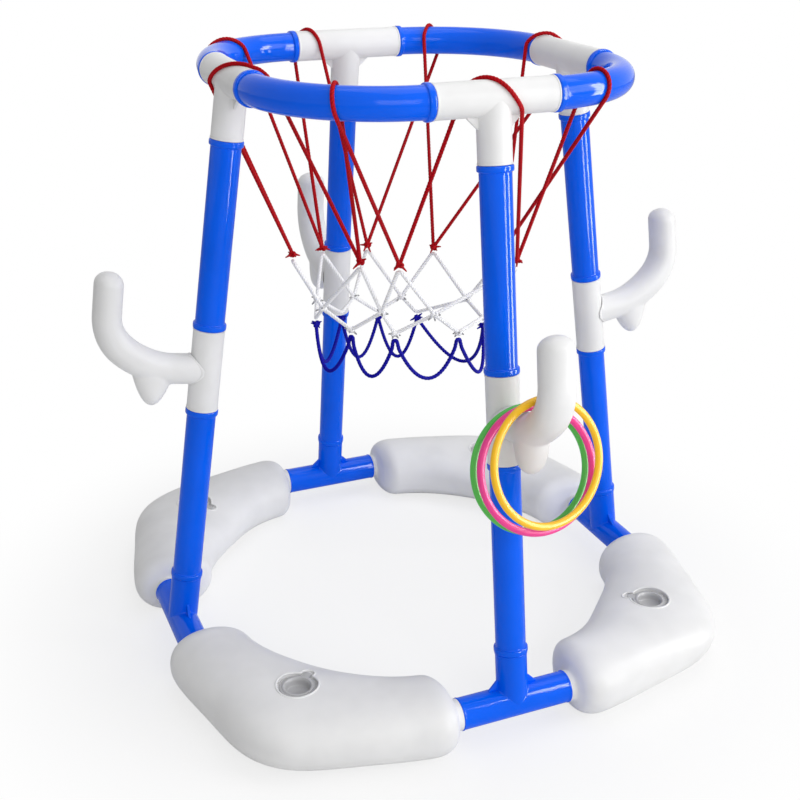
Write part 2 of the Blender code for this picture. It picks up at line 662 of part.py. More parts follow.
def float_plug():
    """A push plug shaped like a shallow cup, its flange's seat at the origin, tab along -X."""
    body_radius = FILLER_HOLE_DIAMETER / 2 - FIT_GAP
    cup_radius = body_radius - PLUG_WALL
    seat = FACE_GAP
    top = seat + PLUG_FLANGE_THICKNESS
    bottom = seat - PLUG_BODY_LENGTH
    profile = [
        (0.0, bottom + PLUG_WALL),
        (cup_radius, bottom + PLUG_WALL),
        (cup_radius, top),
        (PLUG_FLANGE_DIAMETER / 2, top),
        (PLUG_FLANGE_DIAMETER / 2, seat),
        (body_radius, seat),
        (body_radius, bottom),
        (0.0, bottom),
    ]
    cup = turned(profile, PLUG_SIDES, closed=False)
    tab = box((-PLUG_TAB_REACH, -PLUG_TAB_WIDTH / 2, top - PLUG_TAB_THICKNESS),
              (-PLUG_FLANGE_DIAMETER / 2 + PLUG_WALL, PLUG_TAB_WIDTH / 2, top - PLUG_TAB_DROP))
    return join_all(cup, [tab])


# Net

def hoop_spot(angle):
    """Tube centre, outward normal and clear radius where the hoop crosses an angle."""
    nearest = 90.0 * round(angle / 90.0)
    off = math.radians(angle - nearest)
    side = turn_z(nearest)
    sideways = HOOP_HALF_WIDTH * math.tan(off)
    if abs(sideways) <= HOOP_TEE_HALF_LENGTH:
        centre = side @ Vector((HOOP_HALF_WIDTH, sideways, HOOP_HEIGHT))
        near_bead = abs(sideways) > HOOP_TEE_HALF_LENGTH - 2 * BEAD_WIDTH
        radius = BEAD_RADIUS if near_bead else FITTING_RADIUS
        return centre, side.to_3x3() @ Vector((1.0, 0.0, 0.0)), radius
    corner = Vector((HOOP_TEE_HALF_LENGTH, math.copysign(HOOP_TEE_HALF_LENGTH, off)))
    spoke = Vector((math.cos(off), math.sin(off)))
    along = spoke.dot(corner)
    reach = along + math.sqrt(along ** 2 - corner.length_squared + HOOP_CORNER_RADIUS ** 2)
    spot = spoke * reach
    normal = (spot - corner).normalized()
    near_bead = abs(spot.y) < HOOP_TEE_HALF_LENGTH + 2 * BEAD_WIDTH
    radius = BEAD_RADIUS if near_bead else TUBE_RADIUS
    centre = side @ Vector((spot.x, spot.y, HOOP_HEIGHT))
    return centre, side.to_3x3() @ Vector((normal.x, normal.y, 0.0)), radius


def net_spot(knot, drop):
    """Where a knot hangs, from its (degrees, millimetres) pair and its row's drop."""
    angle = math.radians(knot[0])
    reach = knot[1] * MM
    low = NET_TILT * math.cos(math.radians(knot[0] - NET_LOW_SIDE))
    height = HOOP_HEIGHT - drop - low
    return Vector((reach * math.cos(angle), reach * math.sin(angle), height))


def red_knot(index):
    return net_spot(RED_KNOTS[index % len(RED_KNOTS)], RED_DROP)


def white_knot(index):
    return net_spot(WHITE_KNOTS[index % len(WHITE_KNOTS)], WHITE_DROP)


def lower_knot(index):
    return net_spot(LOWER_KNOTS[index % len(LOWER_KNOTS)], LOWER_DROP)


def lean_to(angle, knot):
    """How far from straight down a cord leans inward between the tube and a knot."""
    centre, normal, _ = hoop_spot(angle)
    away = knot - centre
    return math.atan2(-away.dot(normal), -away.z)


def loop_cord(inner_angle, inner_knot, outer_angle, outer_knot):
    """One red loop: up from a knot, over the hoop's tube, and down to the next knot."""
    first = red_knot(inner_knot)
    last = red_knot(outer_knot)
    turn_start = math.pi - lean_to(inner_angle, first)
    turn_end = -lean_to(outer_angle, last)
    slack = math.cos((turn_start - turn_end) / LOOP_STEPS / 2)
    points = [first]
    for i in range(LOOP_STEPS + 1):
        share = i / LOOP_STEPS
        centre, normal, radius = hoop_spot(inner_angle + (outer_angle - inner_angle) * share)
        turn = turn_start + (turn_end - turn_start) * share
        wrap = (radius + CORD_RADIUS + FACE_GAP) / slack
        rise = Vector((0.0, 0.0, wrap * math.sin(turn)))
        points.append(centre + normal * (wrap * math.cos(turn)) + rise)
    points.append(last)
    return tube_along(points, [CORD_RADIUS] * len(points), CORD_SIDES)


def closed_cord(points):
    """One cord that runs through the points and back to the first."""
    curve = bpy.data.curves.new("cord", "CURVE")
    curve.dimensions = "3D"
    curve.bevel_depth = CORD_RADIUS
    curve.bevel_resolution = CORD_SIDES // 2 - 2
    spline = curve.splines.new("POLY")
    spline.points.add(len(points) - 1)
    spline.use_cyclic_u = True
    for spot, point in zip(spline.points, points):
        spot.co = (*point, 1.0)
    return finished_mesh(link_object("cord", curve, CUTTERS))


def lowered(point, distance):
    return point - Vector((0.0, 0.0, distance))


def bight(point):
    """Two points that turn a cord back on itself without a knot, round the net's edge."""
    forward = Vector((-point.y, point.x, 0.0)).normalized() * BIGHT_HALF_WIDTH
    return [point - forward, point + forward]


def red_net():
    """Eight loops over the hoop, tied to each other by eight knots."""
    knots = [blob(KNOT_RADIUS, red_knot(i)) for i in range(len(RED_KNOTS))]
    cords = [loop_cord(*loop) for loop in LOOPS]
    return join_all(cords[0], knots + cords[1:])


def white_net():
    """The band of diamonds: one cord zigzags under the red knots and one over the tails."""
    hang = KNOT_RADIUS + 2 * FACE_GAP + CORD_RADIUS
    upper, lower, knots = [], [], []
    for i in range(len(WHITE_KNOTS)):
        following = white_knot(i + 1)
        upper += bight(lowered(red_knot(i), hang))
        upper.append(following)
        if i in WHITE_TIED:
            lower.append(lower_knot(i))
            knots.append(blob(KNOT_RADIUS, lower_knot(i)))
        else:
            lower += bight(lowered(lower_knot(i), -hang))
        lower.append(following)
        knots.append(blob(KNOT_RADIUS, following))
    return join_all(closed_cord(upper), [closed_cord(lower)] + knots)


def tail_end(index):
    """Where two blue loops meet: in their own knot, or just under a white one."""
    knot = lower_knot(index)
    if index % len(LOWER_KNOTS) in WHITE_TIED:
        return lowered(knot, KNOT_RADIUS + 2 * FACE_GAP + CORD_RADIUS)
    return knot


def tail_loop(index):
    """Points down and up one hanging blue loop: a parabola between two lower knots."""
    start, end = tail_end(index), tail_end(index + 1)
    first = LOWER_KNOTS[index]
    last = LOWER_KNOTS[(index + 1) % len(LOWER_KNOTS)]
    sweep = (last[0] - first[0]) % 360
    points = []
    for i in range(1, TAIL_STEPS):
        share = i / TAIL_STEPS
        middle = (first[0] + sweep * share, first[1] + (last[1] - first[1]) * share)
        low = net_spot(middle, TAIL_DROP)
        edge = start.z + (end.z - start.z) * share
        sag = 1 - (2 * share - 1) ** 2
        points.append(Vector((low.x, low.y, edge + (low.z - edge) * sag)))
    return points


def blue_net():
    """Eight hanging loops along the net's lower edge, as one cord."""
    path, knots = [], []
    for i in range(len(LOWER_KNOTS)):
        end = tail_end(i)
        if i in WHITE_TIED:
            path += bight(end)
        else:
            path.append(end)
            knots.append(blob(KNOT_RADIUS, end))
        path += tail_loop(i)
    return join_all(closed_cord(path), knots)


# Rings

def arm_top():
    """(reach, height) points along the upper side of the front hook's arm, both upward."""
    frame = along_leg(0.0, HOOK_TEE_RISE)
    points = []
    for outward, up, turn, depth, _ in hook_spine()[:8]:
        spot = Vector((outward - depth * math.sin(turn), 0.0, up + depth * math.cos(turn)))
        points.append(frame @ spot)
    return [point.x for point in points], [point.z for point in points]


def ring_height(reach):
    """Height at which a ring's round section clears the arm, at a reach from the centre."""
    radius = RING_THICKNESS / 2 + RING_GAP
    reaches, heights = arm_top()
    offsets = np.linspace(-radius, radius, 41)
    ground = np.interp(reach + offsets, reaches, heights)
    return float(np.max(ground + np.sqrt(radius ** 2 - offsets ** 2)))


def throwing_ring():
    bpy.ops.mesh.primitive_torus_add(
        major_radius=(RING_DIAMETER - RING_THICKNESS) / 2,
        minor_radius=RING_THICKNESS / 2,
        major_segments=RING_STEPS,
        minor_segments=RING_SIDES,
    )
    return finished_mesh(bpy.context.object)


def ring_matrix(outward, turn, lean, aside):
    """A ring hanging on the front hook's arm, its origin in the middle of its top section."""
    reach = along_leg(0.0, HOOK_TEE_RISE).translation.x + outward
    hang = Matrix.Translation((reach, 0.0, ring_height(reach)))
    tipped = Euler((0.0, math.radians(90.0 - lean), 0.0)).to_matrix().to_4x4()
    askew = turn_z(LEG_ANGLES["front"]) @ hang @ turn_z(turn) @ tipped
    return askew @ Matrix.Translation((0.0, -aside, 0.0))


def hung_ring_mesh():
    """The ring with its origin moved to the middle of its top section, where it hangs."""
    mesh = throwing_ring()
    mesh.transform(Matrix.Translation(((RING_DIAMETER - RING_THICKNESS) / 2, 0.0, 0.0)))
    return mesh


# Assembly

def build_base():
    tee_mesh = tee(BASE_TEE_HALF_LENGTH, BASE_BRANCH_LENGTH, 1.0)
    float_mesh = float_body()
    plug_mesh = float_plug()
    filler_x = BASE_TEE_HALF_LENGTH * math.sqrt(2) + BASE_CORNER_RADIUS - FILLER_INSET
    filler_z = BASE_AXIS_HEIGHT + FLOAT_TOP_RISE - FLOAT_MIDDLE_DIP - FILLER_DEPTH
    for name, angle in LEG_ANGLES.items():
        place_copy(f"base_tee_{name}", tee_mesh, BLUE, leg_frame(angle))
    for name, angle in CORNER_ANGLES.items():
        corner = turn_z(angle)
        ring_height = Matrix.Translation((0.0, 0.0, BASE_AXIS_HEIGHT))
        place_copy(f"float_{name}", float_mesh, WHITE, corner @ ring_height)
        plug_place = corner @ Matrix.Translation((filler_x, 0.0, filler_z))
        place_copy(f"float_plug_{name}", plug_mesh, GREY, plug_place)


def build_legs():
    half_tee = HOOK_TEE_LENGTH / 2
    lower_tube = straight_tube(BASE_BRANCH_LENGTH, HOOK_TEE_RISE - half_tee)
    upper_tube = straight_tube(HOOK_TEE_RISE + half_tee, LEG_LENGTH - HOOP_BRANCH_LENGTH)
    hook_tee_mesh = hook_tee()
    hook_mesh = hook()
    for name, angle in LEG_ANGLES.items():
        foot = leg_frame(angle)
        middle = along_leg(angle, HOOK_TEE_RISE)
        place_copy(f"lower_leg_{name}", lower_tube, BLUE, foot)
        place_copy(f"upper_leg_{name}", upper_tube, BLUE, foot)
        place_copy(f"hook_tee_{name}", hook_tee_mesh, WHITE, middle)
        place_copy(f"hook_{name}", hook_mesh, WHITE, middle)


def build_hoop():
    tee_mesh = tee(HOOP_TEE_HALF_LENGTH, HOOP_BRANCH_LENGTH, -1.0)
    corner_mesh = hoop_corner()
    for name, angle in LEG_ANGLES.items():
        place_copy(f"hoop_tee_{name}", tee_mesh, WHITE, along_leg(angle, LEG_LENGTH))
    for name, angle in CORNER_ANGLES.items():
        height = Matrix.Translation((0.0, 0.0, HOOP_HEIGHT))
        place_copy(f"hoop_tube_{name}", corner_mesh, BLUE, turn_z(angle - 45.0) @ height)


def build_net():
    here = Matrix.Identity(4)
    place_copy("net_red_loops", red_net(), RED_CORD, here)
    place_copy("net_white_diamonds", white_net(), WHITE_CORD, here)
    place_copy("net_blue_tails", blue_net(), BLUE_CORD, here)


def build_rings():
    for name, place in RING_PLACES.items():
        place_copy(f"throwing_ring_{name}", hung_ring_mesh(), RING_PLASTICS[name],
                   ring_matrix(*place))


clear_scene()
PARTS = new_collection("floating_basketball_hoop")
CUTTERS = new_collection("cutters")
BLUE = plastic("blue_plastic", (0.008, 0.10, 0.78), 0.28)
WHITE = plastic("white_plastic", (0.84, 0.84, 0.85), 0.35)
GREY = plastic("plug_plastic", (0.70, 0.70, 0.71), 0.45)
RED_CORD = plastic("red_cord", (0.40, 0.003, 0.008), 0.80)
WHITE_CORD = plastic("white_cord", (0.80, 0.80, 0.80), 0.85)
BLUE_CORD = plastic("blue_cord", (0.005, 0.005, 0.32), 0.80)
RING_PLASTICS = {
    "green": plastic("green_plastic", (0.10, 0.52, 0.10), 0.35),
    "pink": plastic("pink_plastic", (0.95, 0.09, 0.35), 0.35),
    "yellow": plastic("yellow_plastic", (1.0, 0.58, 0.02), 0.35),
}
build_base()
build_legs()
build_hoop()
build_net()
build_rings()
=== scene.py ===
# %% [markdown]
# # A floating basketball hoop, finished over its fixed frame
#
# The real toy is pushed together from blow-moulded parts: four white floats and four blue tees
# make the base ring, four blue legs lean inward to a round-cornered hoop, a white hook sits on
# each leg, and a cord net in three colours hangs from the hoop. The frame that is loaded here
# already has every part in its place, but its tubes are twelve-sided and its cords are rods.
# Each step below makes one kind of part again as a fine surface, in the same place, and lets
# it ride on the same body. It starts with the frame and the room that it may take up.

# %% Load the frame
import json
import math

import bmesh
import bpy
import numpy as np
from mathutils import Matrix, Vector


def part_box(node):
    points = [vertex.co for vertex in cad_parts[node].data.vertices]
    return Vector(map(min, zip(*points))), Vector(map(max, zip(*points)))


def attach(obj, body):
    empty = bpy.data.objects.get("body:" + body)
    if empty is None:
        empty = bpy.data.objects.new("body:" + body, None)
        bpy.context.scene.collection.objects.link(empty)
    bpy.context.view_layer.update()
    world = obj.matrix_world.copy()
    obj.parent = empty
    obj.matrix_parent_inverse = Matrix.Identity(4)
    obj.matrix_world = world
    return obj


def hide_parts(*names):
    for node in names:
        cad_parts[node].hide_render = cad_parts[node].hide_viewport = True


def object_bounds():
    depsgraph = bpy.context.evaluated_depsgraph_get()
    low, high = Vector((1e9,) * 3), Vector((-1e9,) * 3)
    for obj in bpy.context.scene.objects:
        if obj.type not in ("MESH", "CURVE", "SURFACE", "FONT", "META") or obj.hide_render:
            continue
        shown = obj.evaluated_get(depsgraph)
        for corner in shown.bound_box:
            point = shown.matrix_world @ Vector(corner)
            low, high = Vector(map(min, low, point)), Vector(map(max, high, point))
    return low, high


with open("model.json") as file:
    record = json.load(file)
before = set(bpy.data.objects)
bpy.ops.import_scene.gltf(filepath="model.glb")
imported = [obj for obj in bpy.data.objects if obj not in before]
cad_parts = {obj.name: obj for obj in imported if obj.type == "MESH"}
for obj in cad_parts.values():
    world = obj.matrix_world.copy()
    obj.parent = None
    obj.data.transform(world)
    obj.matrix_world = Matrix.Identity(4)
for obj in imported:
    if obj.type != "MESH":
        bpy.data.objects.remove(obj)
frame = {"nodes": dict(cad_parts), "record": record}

MM = 0.001
cad_low, cad_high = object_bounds()
cad_size = np.array(cad_high - cad_low) / MM
print("frame:", len(frame["nodes"]), "nodes,", *cad_size.round(1), "mm")

# %% [markdown]
# ## Camera
#
# The camera stands where the photograph was taken from: in front of the toy, a little to its
# left and looking down. Its place was fitted once to the legs and to the two rings of tube, so
# it is written as plain values. A long lens on a square frame gives the calm perspective.

# %% Camera
CAMERA_PLACE = (-0.53183, -1.23369, 0.85451)
CAMERA_TURN = (66.378, -0.229, -22.824)
CAMERA_LENS = 55.84
SENSOR_WIDTH = 36.0

camera_data = bpy.data.cameras.new("camera")
camera_data.lens = CAMERA_LENS
camera_data.sensor_width = SENSOR_WIDTH
camera = bpy.data.objects.new("camera", camera_data)
camera.location = CAMERA_PLACE
camera.rotation_euler = [math.radians(angle) for angle in CAMERA_TURN]
bpy.context.scene.collection.objects.link(camera)
bpy.context.scene.camera = camera
bpy.context.scene.view_settings.view_transform = "Standard"
print("camera", [round(value, 3) for value in camera.location])

# %% [markdown]
# ## From arrays to meshes
#
# Every part of this toy is a tube, a turned ring or a swollen bag, and each of those is a
# function of two numbers: how far along, and how far round. So a part is worked out as one
# numpy array of points, with a row for each step along and a column for each step round, and
# the quads between its rows and columns are worked out from their numbers. This keeps curved
# walls exact and needs no loop over points. A row that shrinks to one point closes an end, and
# merging its points leaves no hole. Each corner of a quad also gets a UV: metres along, and
# the share of a turn round, which the cords' twist needs later. A part that repeats is made
# once, and each of its places gets a smooth copy.

# %% Grids
MERGE = 0.001 * MM


def running(points):
    """How far along a path each of its points lies: the running sum of the steps' lengths."""
    return np.concatenate([[0.0], np.cumsum(np.linalg.norm(np.diff(points, axis=0), axis=1))])


def grid(points, closed=False, tint=0.0):
    """Quads over an (r, c, 3) array: face (i, j) joins (i, j), (i, j+1), (i+1, j+1), (i+1, j).

    Columns always wrap round, rows wrap where closed. A corner's UV is its row's running
    length in metres and its column's share of a turn. The tint is one number for each row.
    """
    rows, columns = points.shape[:2]
    middles = points.mean(axis=1)
    along = running(np.vstack([middles, middles[:1]]))
    low, left = (index.ravel() for index in np.mgrid[:rows if closed else rows - 1, :columns])
    corners = [(low, left), (low, left + 1), (low + 1, left + 1), (low + 1, left)]
    quads = np.stack([(row % rows) * columns + column % columns for row, column in corners], axis=1)
    uvs = np.stack([np.stack([along[row], column / columns], axis=1) for row, column in corners], axis=1)
    tints = np.broadcast_to(np.asarray(tint, float).reshape(-1, 1), (rows, columns)).ravel()
    return points.reshape(-1, 3), quads, uvs, tints


def make_mesh(name, grids):
    """One mesh from grids. Points less than MERGE apart become one, so poles are closed."""
    start, parts = 0, []
    for points, quads, uvs, tints in grids:
        parts.append((points, quads + start, uvs, tints))
        start += len(points)
    points, quads, uvs, tints = (np.concatenate(kind) for kind in zip(*parts))
    mesh = bpy.data.meshes.new(name)
    mesh.from_pydata(points.tolist(), [], quads.tolist())
    mesh.uv_layers.new(name="lay").data.foreach_set("uv", uvs.astype(np.float32).ravel())
    mesh.attributes.new("tint", "FLOAT", "POINT").data.foreach_set("value", tints.astype(np.float32))
    body = bmesh.new()
    body.from_mesh(mesh)
    bmesh.ops.remove_doubles(body, verts=body.verts, dist=MERGE)
    body.to_mesh(mesh)
    body.free()
    return mesh


def add_piece(node, mesh, finish, place=None, body="frame", sharp=40.0):
    """A smooth copy of a mesh, moved by a 4x4 place, that stands for a node and rides on its body."""
    mesh = mesh.copy()
    if place is not None:
        mesh.transform(place)
    mesh.shade_smooth()
    mesh.set_sharp_from_angle(angle=math.radians(sharp))
    mesh.materials.clear()
    mesh.materials.append(finish)
    piece = bpy.data.objects.new(f"fine_{node}", mesh)
    bpy.context.scene.collection.objects.link(piece)
    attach(piece, body)
    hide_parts(node)


# %% [markdown]
# ## Outlines
#
# Moulded plastic has no sharp edge: the mould's corners are rounded by about a millimetre, and
# that round is what catches the light. So a part's outline is listed by its plain corners, and
# one function rounds them all. It also leaves a point just before and after each round, so
# that smooth shading doesn't bend the light on the straight stretch beside it.

# %% Rounded outlines
EDGE_SHARE = 0.4
LEAD = 1.2
SHORTEST = 1e-9


def rounded(corners, fillet, steps=5, closed=True):
    """Round an outline's corners: P becomes (1-t)^2 A + 2t(1-t) P + t^2 B for t in 0..1.

    A and B lie on the two edges at P, a fillet away from it or EDGE_SHARE of the edge at most.
    On each edge one more point lies LEAD times as far away.
    """
    corners = np.array(corners, float)
    cuts = []
    for way in (1, -1):
        edge = np.roll(corners, way, axis=0) - corners
        length = np.linalg.norm(edge, axis=1)
        cut = np.minimum(fillet, EDGE_SHARE * length)
        cuts.append((edge / length[:, None] * cut[:, None])[:, None])
    back, on = cuts
    middle = corners[:, None]
    share = np.linspace(0.0, 1.0, steps)[None, :, None]
    curve = ((1 - share) ** 2 * (middle + back) + 2 * share * (1 - share) * middle
             + share ** 2 * (middle + on))
    whole = np.concatenate([middle + LEAD * back, curve, middle + LEAD * on], axis=1)
    if not closed:
        whole[0] = corners[0]
        whole[-1] = corners[-1]
    return whole.reshape(-1, corners.shape[1])


def divided(outline, longest, closed=True):
    """Add points so that no stretch of an outline is longer than the given length."""
    if closed:
        outline = np.vstack([outline, outline[:1]])
    outline = outline[np.append(True, np.diff(running(outline)) > SHORTEST)]
    run = running(outline)
    places = np.union1d(run, np.arange(0.0, run[-1], longest))
    if closed:
        places = places[:-1]
    return np.stack([np.interp(places, run, column) for column in outline.T], axis=1)


def turns(count):
    """Angles 2 pi i / count."""
    return np.arange(count) * 2 * np.pi / count


def xyz(x, y, z):
    """Points from three arrays of coordinates that broadcast to one shape."""
    return np.stack(np.broadcast_arrays(x, y, z), axis=-1)


def turned(outline, sides=64, closed=True):
    """Turn (radius, height) points about Z: (r cos a, r sin a, h). The outside runs upward."""
    angle = turns(sides)
    radius, height = outline[:, :1], outline[:, 1:]
    return grid(xyz(radius * np.cos(angle), radius * np.sin(angle), height), closed)


print("outline of a test square:", len(rounded([(0, 0), (1, 0), (1, 1), (0, 1)], 0.1)), "points")

# %% [markdown]
# ## Plastics
#
# The toy is blow-moulded polyethylene: blue tubes with a clear gloss, white parts with a
# softer one, and small solid rings. Blown walls are never quite flat, so a slow wave bends the
# reflections, a fine grain breaks them up, and handling leaves faint dull scuffs. All of this
# could be painted, but a pattern worked out from each point's place needs no picture and
# stays put on the part from any side. A small class lets a node tree be written as sums.

# %% Shader sums
class Signal:
    """A node's output for use in Python sums: each operator adds a Math node.

    The reflected forms let a plain number stand on the left, as in 1 - mask.
    """

    def __init__(self, finish, socket):
        self.finish = finish
        self.socket = socket

    def maths(self, operation, *values):
        return self.finish.node("ShaderNodeMath", {"operation": operation}, dict(enumerate(values)))

    def __add__(self, other):
        return self.maths("ADD", self, other)

    def __sub__(self, other):
        return self.maths("SUBTRACT", self, other)

    def __rsub__(self, other):
        return self.maths("SUBTRACT", other, self)

    def __mul__(self, other):
        return self.maths("MULTIPLY", self, other)

    def __abs__(self):
        return self.maths("ABSOLUTE", self)

    __radd__ = __add__
    __rmul__ = __mul__


class Finish:
    """A material or a world whose nodes are added one by one, settings first and then inputs."""

    def __init__(self, owner):
        owner.use_nodes = True
        self.owner = owner
        self.tree = owner.node_tree
        self.tree.nodes.clear()

    def node(self, kind, settings=None, inputs=None, output=0):
        node = self.tree.nodes.new(kind)
        for name, value in (settings or {}).items():
            setattr(node, name, value)
        for name, value in (inputs or {}).items():
            if isinstance(value, Signal):
                self.tree.links.new(value.socket, node.inputs[name])
            else:
                node.inputs[name].default_value = value
        return Signal(self, node.outputs[output])

    def noise(self, place, scale, detail):
        return self.node("ShaderNodeTexNoise", {"noise_dimensions": "3D"},
                         {"Vector": place, "Scale": scale, "Detail": detail})

    def between(self, low, high, value):
        """0 below low, 1 above high and a smooth rise between them."""
        settings = {"interpolation_type": "SMOOTHSTEP", "clamp": True}
        inputs = {"Value": value, "From Min": low, "From Max": high, "To Min": 0.0, "To Max": 1.0}
        return self.node("ShaderNodeMapRange", settings, inputs)

    def blend(self, share, first, second):
        """A colour that goes from the first to the second as the share goes from 0 to 1."""
        return self.node("ShaderNodeMix", {"data_type": "RGBA", "clamp_factor": True},
                         {0: share, 6: first, 7: second}, 2)

    def bump(self, height, depth, below=None):
        inputs = {"Height": height, "Strength": 1.0, "Distance": depth}
        if below is not None:
            inputs["Normal"] = below
        return self.node("ShaderNodeBump", None, inputs)

    def shown(self, shader, output="ShaderNodeOutputMaterial"):
        """Send a shader to the output and return the material or world."""
        end = self.tree.nodes.new(output)
        self.tree.links.new(shader.socket, end.inputs["Surface"])
        return self.owner

    def surface(self, inputs):
        return self.shown(self.node("ShaderNodeBsdfPrincipled", None, inputs))


def material(name):
    return Finish(bpy.data.materials.new(name))


def tone(colour, factor):
    """A colour made lighter or darker, with its alpha."""
    return (*(min(1.0, part * factor) for part in colour), 1.0)


print("a lighter grey:", tone((0.5, 0.5, 0.5), 1.2))

# %% Moulded plastic
CLOUD_SCALE, CLOUD_RANGE = 14.0, (0.3, 0.7)
SCUFF_SCALE, SCUFF_RANGE = 95.0, (0.60, 0.74)
WAVE_SCALE = 22.0
GRAIN_SCALE, GRAIN_HEIGHT = 1400.0, 0.012 * MM
DARKEST, PALEST = 0.95, 1.04


def moulded(name, colour, roughness, shine, wave=0.25):
    """Blown plastic: a slow wave in millimetres, a fine grain, scuffs and a little mottling."""
    finish = material(name)
    place = finish.node("ShaderNodeTexCoord", output="Object")
    cloud = finish.noise(place, CLOUD_SCALE, 3.0)
    scuff = finish.between(*SCUFF_RANGE, finish.noise(place, SCUFF_SCALE, 5.0))
    mottle = finish.between(*CLOUD_RANGE, cloud)
    shade = finish.blend(mottle, tone(colour, DARKEST), tone(colour, PALEST))
    slow = finish.bump(finish.noise(place, WAVE_SCALE, 1.0), wave * MM)
    fine = finish.bump(finish.noise(place, GRAIN_SCALE, 2.0), GRAIN_HEIGHT, slow)
    return finish.surface({
        "Base Color": shade,
        "Roughness": roughness + 0.04 * cloud + 0.05 * scuff,
        "Normal": fine,
        "Specular IOR Level": shine,
    })


BLUE = (0.0, 0.113, 0.86)
WHITE = (0.80, 0.80, 0.80)
BLUE_PLASTIC = moulded("blue_plastic", BLUE, 0.06, 0.15)
WHITE_PLASTIC = moulded("white_plastic", WHITE, 0.30, 0.06, wave=0.30)
PLUG_PLASTIC = moulded("plug_plastic", (0.46, 0.46, 0.47), 0.42, 0.3, wave=0.05)
RING_PLASTIC = {
    "green": moulded("green_plastic", (0.10, 0.56, 0.09), 0.30, 0.3, wave=0.02),
    "pink": moulded("pink_plastic", (0.90, 0.06, 0.32), 0.30, 0.3, wave=0.02),
    "yellow": moulded("yellow_plastic", (1.0, 0.55, 0.02), 0.30, 0.3, wave=0.02),
}
print("plastics:", 3 + len(RING_PLASTIC))

# %% [markdown]
# ## Legs
#
# A leg is two straight tubes with a sleeve between them. Each tube ends in a thin spigot that
# is pushed into the next fitting, and a raised bead stops it at the right depth. Turning one
# rounded outline about the leg's axis gives the spigot, the bead, the wall and the bore in one
# closed surface. The four legs stand a quarter turn apart, and all of them lean inward.

# %% Places of the legs
BASE_HALF_WIDTH = 286.0 * MM
HOOP_HALF_WIDTH = 194.0 * MM
HOOP_RISE = 616.0 * MM
BASE_AXIS_HEIGHT = 35.0 * MM
HOOP_HEIGHT = BASE_AXIS_HEIGHT + HOOP_RISE
LEG_LENGTH = math.hypot(HOOP_RISE, BASE_HALF_WIDTH - HOOP_HALF_WIDTH)
LEG_LEAN = math.atan2(BASE_HALF_WIDTH - HOOP_HALF_WIDTH, HOOP_RISE)
LEG_ANGLES = {"front": -90.0, "right": 0.0, "back": 90.0, "left": 180.0}
CORNER_ANGLES = {"front_left": -135.0, "front_right": -45.0, "back_right": 45.0,
                 "back_left": 135.0}


def turn_z(degrees):
    return Matrix.Rotation(math.radians(degrees), 4, "Z")


def leg_place(angle, rise=0.0):
    """Up a leg by a rise from the base ring's axis: +Z along the leg, +X outward."""
    foot = Matrix.Translation((BASE_HALF_WIDTH, 0.0, BASE_AXIS_HEIGHT))
    lean = Matrix.Rotation(-LEG_LEAN, 4, "Y")
    return turn_z(angle) @ foot @ lean @ Matrix.Translation((0.0, 0.0, rise))


lean_degrees = math.degrees(LEG_LEAN)
print("leg length", round(LEG_LENGTH / MM, 1), "mm, lean", round(lean_degrees, 2), "degrees")

# %% Leg tubes
TUBE_RADIUS = 16.0 * MM
SPIGOT_RADIUS = 14.6 * MM
SPIGOT_LENGTH = 24.0 * MM
BORE_RADIUS = 13.0 * MM
BEAD_RADIUS = 18.0 * MM
BEAD_WIDTH = 6.0 * MM
FACE_GAP = 0.3 * MM
FINE_ROUND = 0.5 * MM
BEAD_ROUND = 1.7 * MM
SEAT_ROUND = 0.1 * MM
BEAD_SLOPE = 0.4 * MM
SLOPE_ROUND = 1.0 * MM


def tube_end(seat, way):
    """Outline corners (radius, place, round) from a spigot's tip to past its bead."""
    face = seat + way * FACE_GAP
    return [
        (SPIGOT_RADIUS, seat - way * SPIGOT_LENGTH, FINE_ROUND),
        (SPIGOT_RADIUS, face, SEAT_ROUND),
        (BEAD_RADIUS, face, BEAD_ROUND),
        (BEAD_RADIUS, face + way * BEAD_WIDTH, BEAD_ROUND),
        (TUBE_RADIUS, face + way * (BEAD_WIDTH + BEAD_SLOPE), SLOPE_ROUND),
    ]


def tube_outline(low_seat, high_seat):
    """Closed outline of a hollow tube: up its outside and back down its bore."""
    bore = [(BORE_RADIUS, high_seat + SPIGOT_LENGTH, FINE_ROUND),
            (BORE_RADIUS, low_seat - SPIGOT_LENGTH, FINE_ROUND)]
    corners = np.array(tube_end(low_seat, 1.0) + tube_end(high_seat, -1.0)[::-1] + bore)
    return rounded(corners[:, :2], corners[:, 2])


BASE_BRANCH_LENGTH = 58.0 * MM
HOOP_BRANCH_LENGTH = 61.0 * MM
HOOK_TEE_RISE = 312.8 * MM
HOOK_TEE_HALF = 46.0 * MM
leg_seats = {
    "lower_leg": (BASE_BRANCH_LENGTH, HOOK_TEE_RISE - HOOK_TEE_HALF),
    "upper_leg": (HOOK_TEE_RISE + HOOK_TEE_HALF, LEG_LENGTH - HOOP_BRANCH_LENGTH),
}
for part, seats in leg_seats.items():
    tube = make_mesh(part, [turned(tube_outline(*seats))])
    for side, angle in LEG_ANGLES.items():
        add_piece(f"{part}_{side}", tube, BLUE_PLASTIC, leg_place(angle))
    print(part, len(tube.polygons), "faces,", round((seats[1] - seats[0]) / MM, 1), "mm between seats")

# %% [markdown]
# ## Hoop tubes
#
# The hoop's four corners are the same tube, bent a quarter turn. The outline of a straight
# tube can be kept: its second number becomes the distance along an arc, and the spigots past
# both ends run straight on into the tees.

# %% Bent tubes
TEE_HALF = 63.4 * MM
HOOP_CORNER_RADIUS = HOOP_HALF_WIDTH - TEE_HALF
ROW_STEP = 3.0 * MM


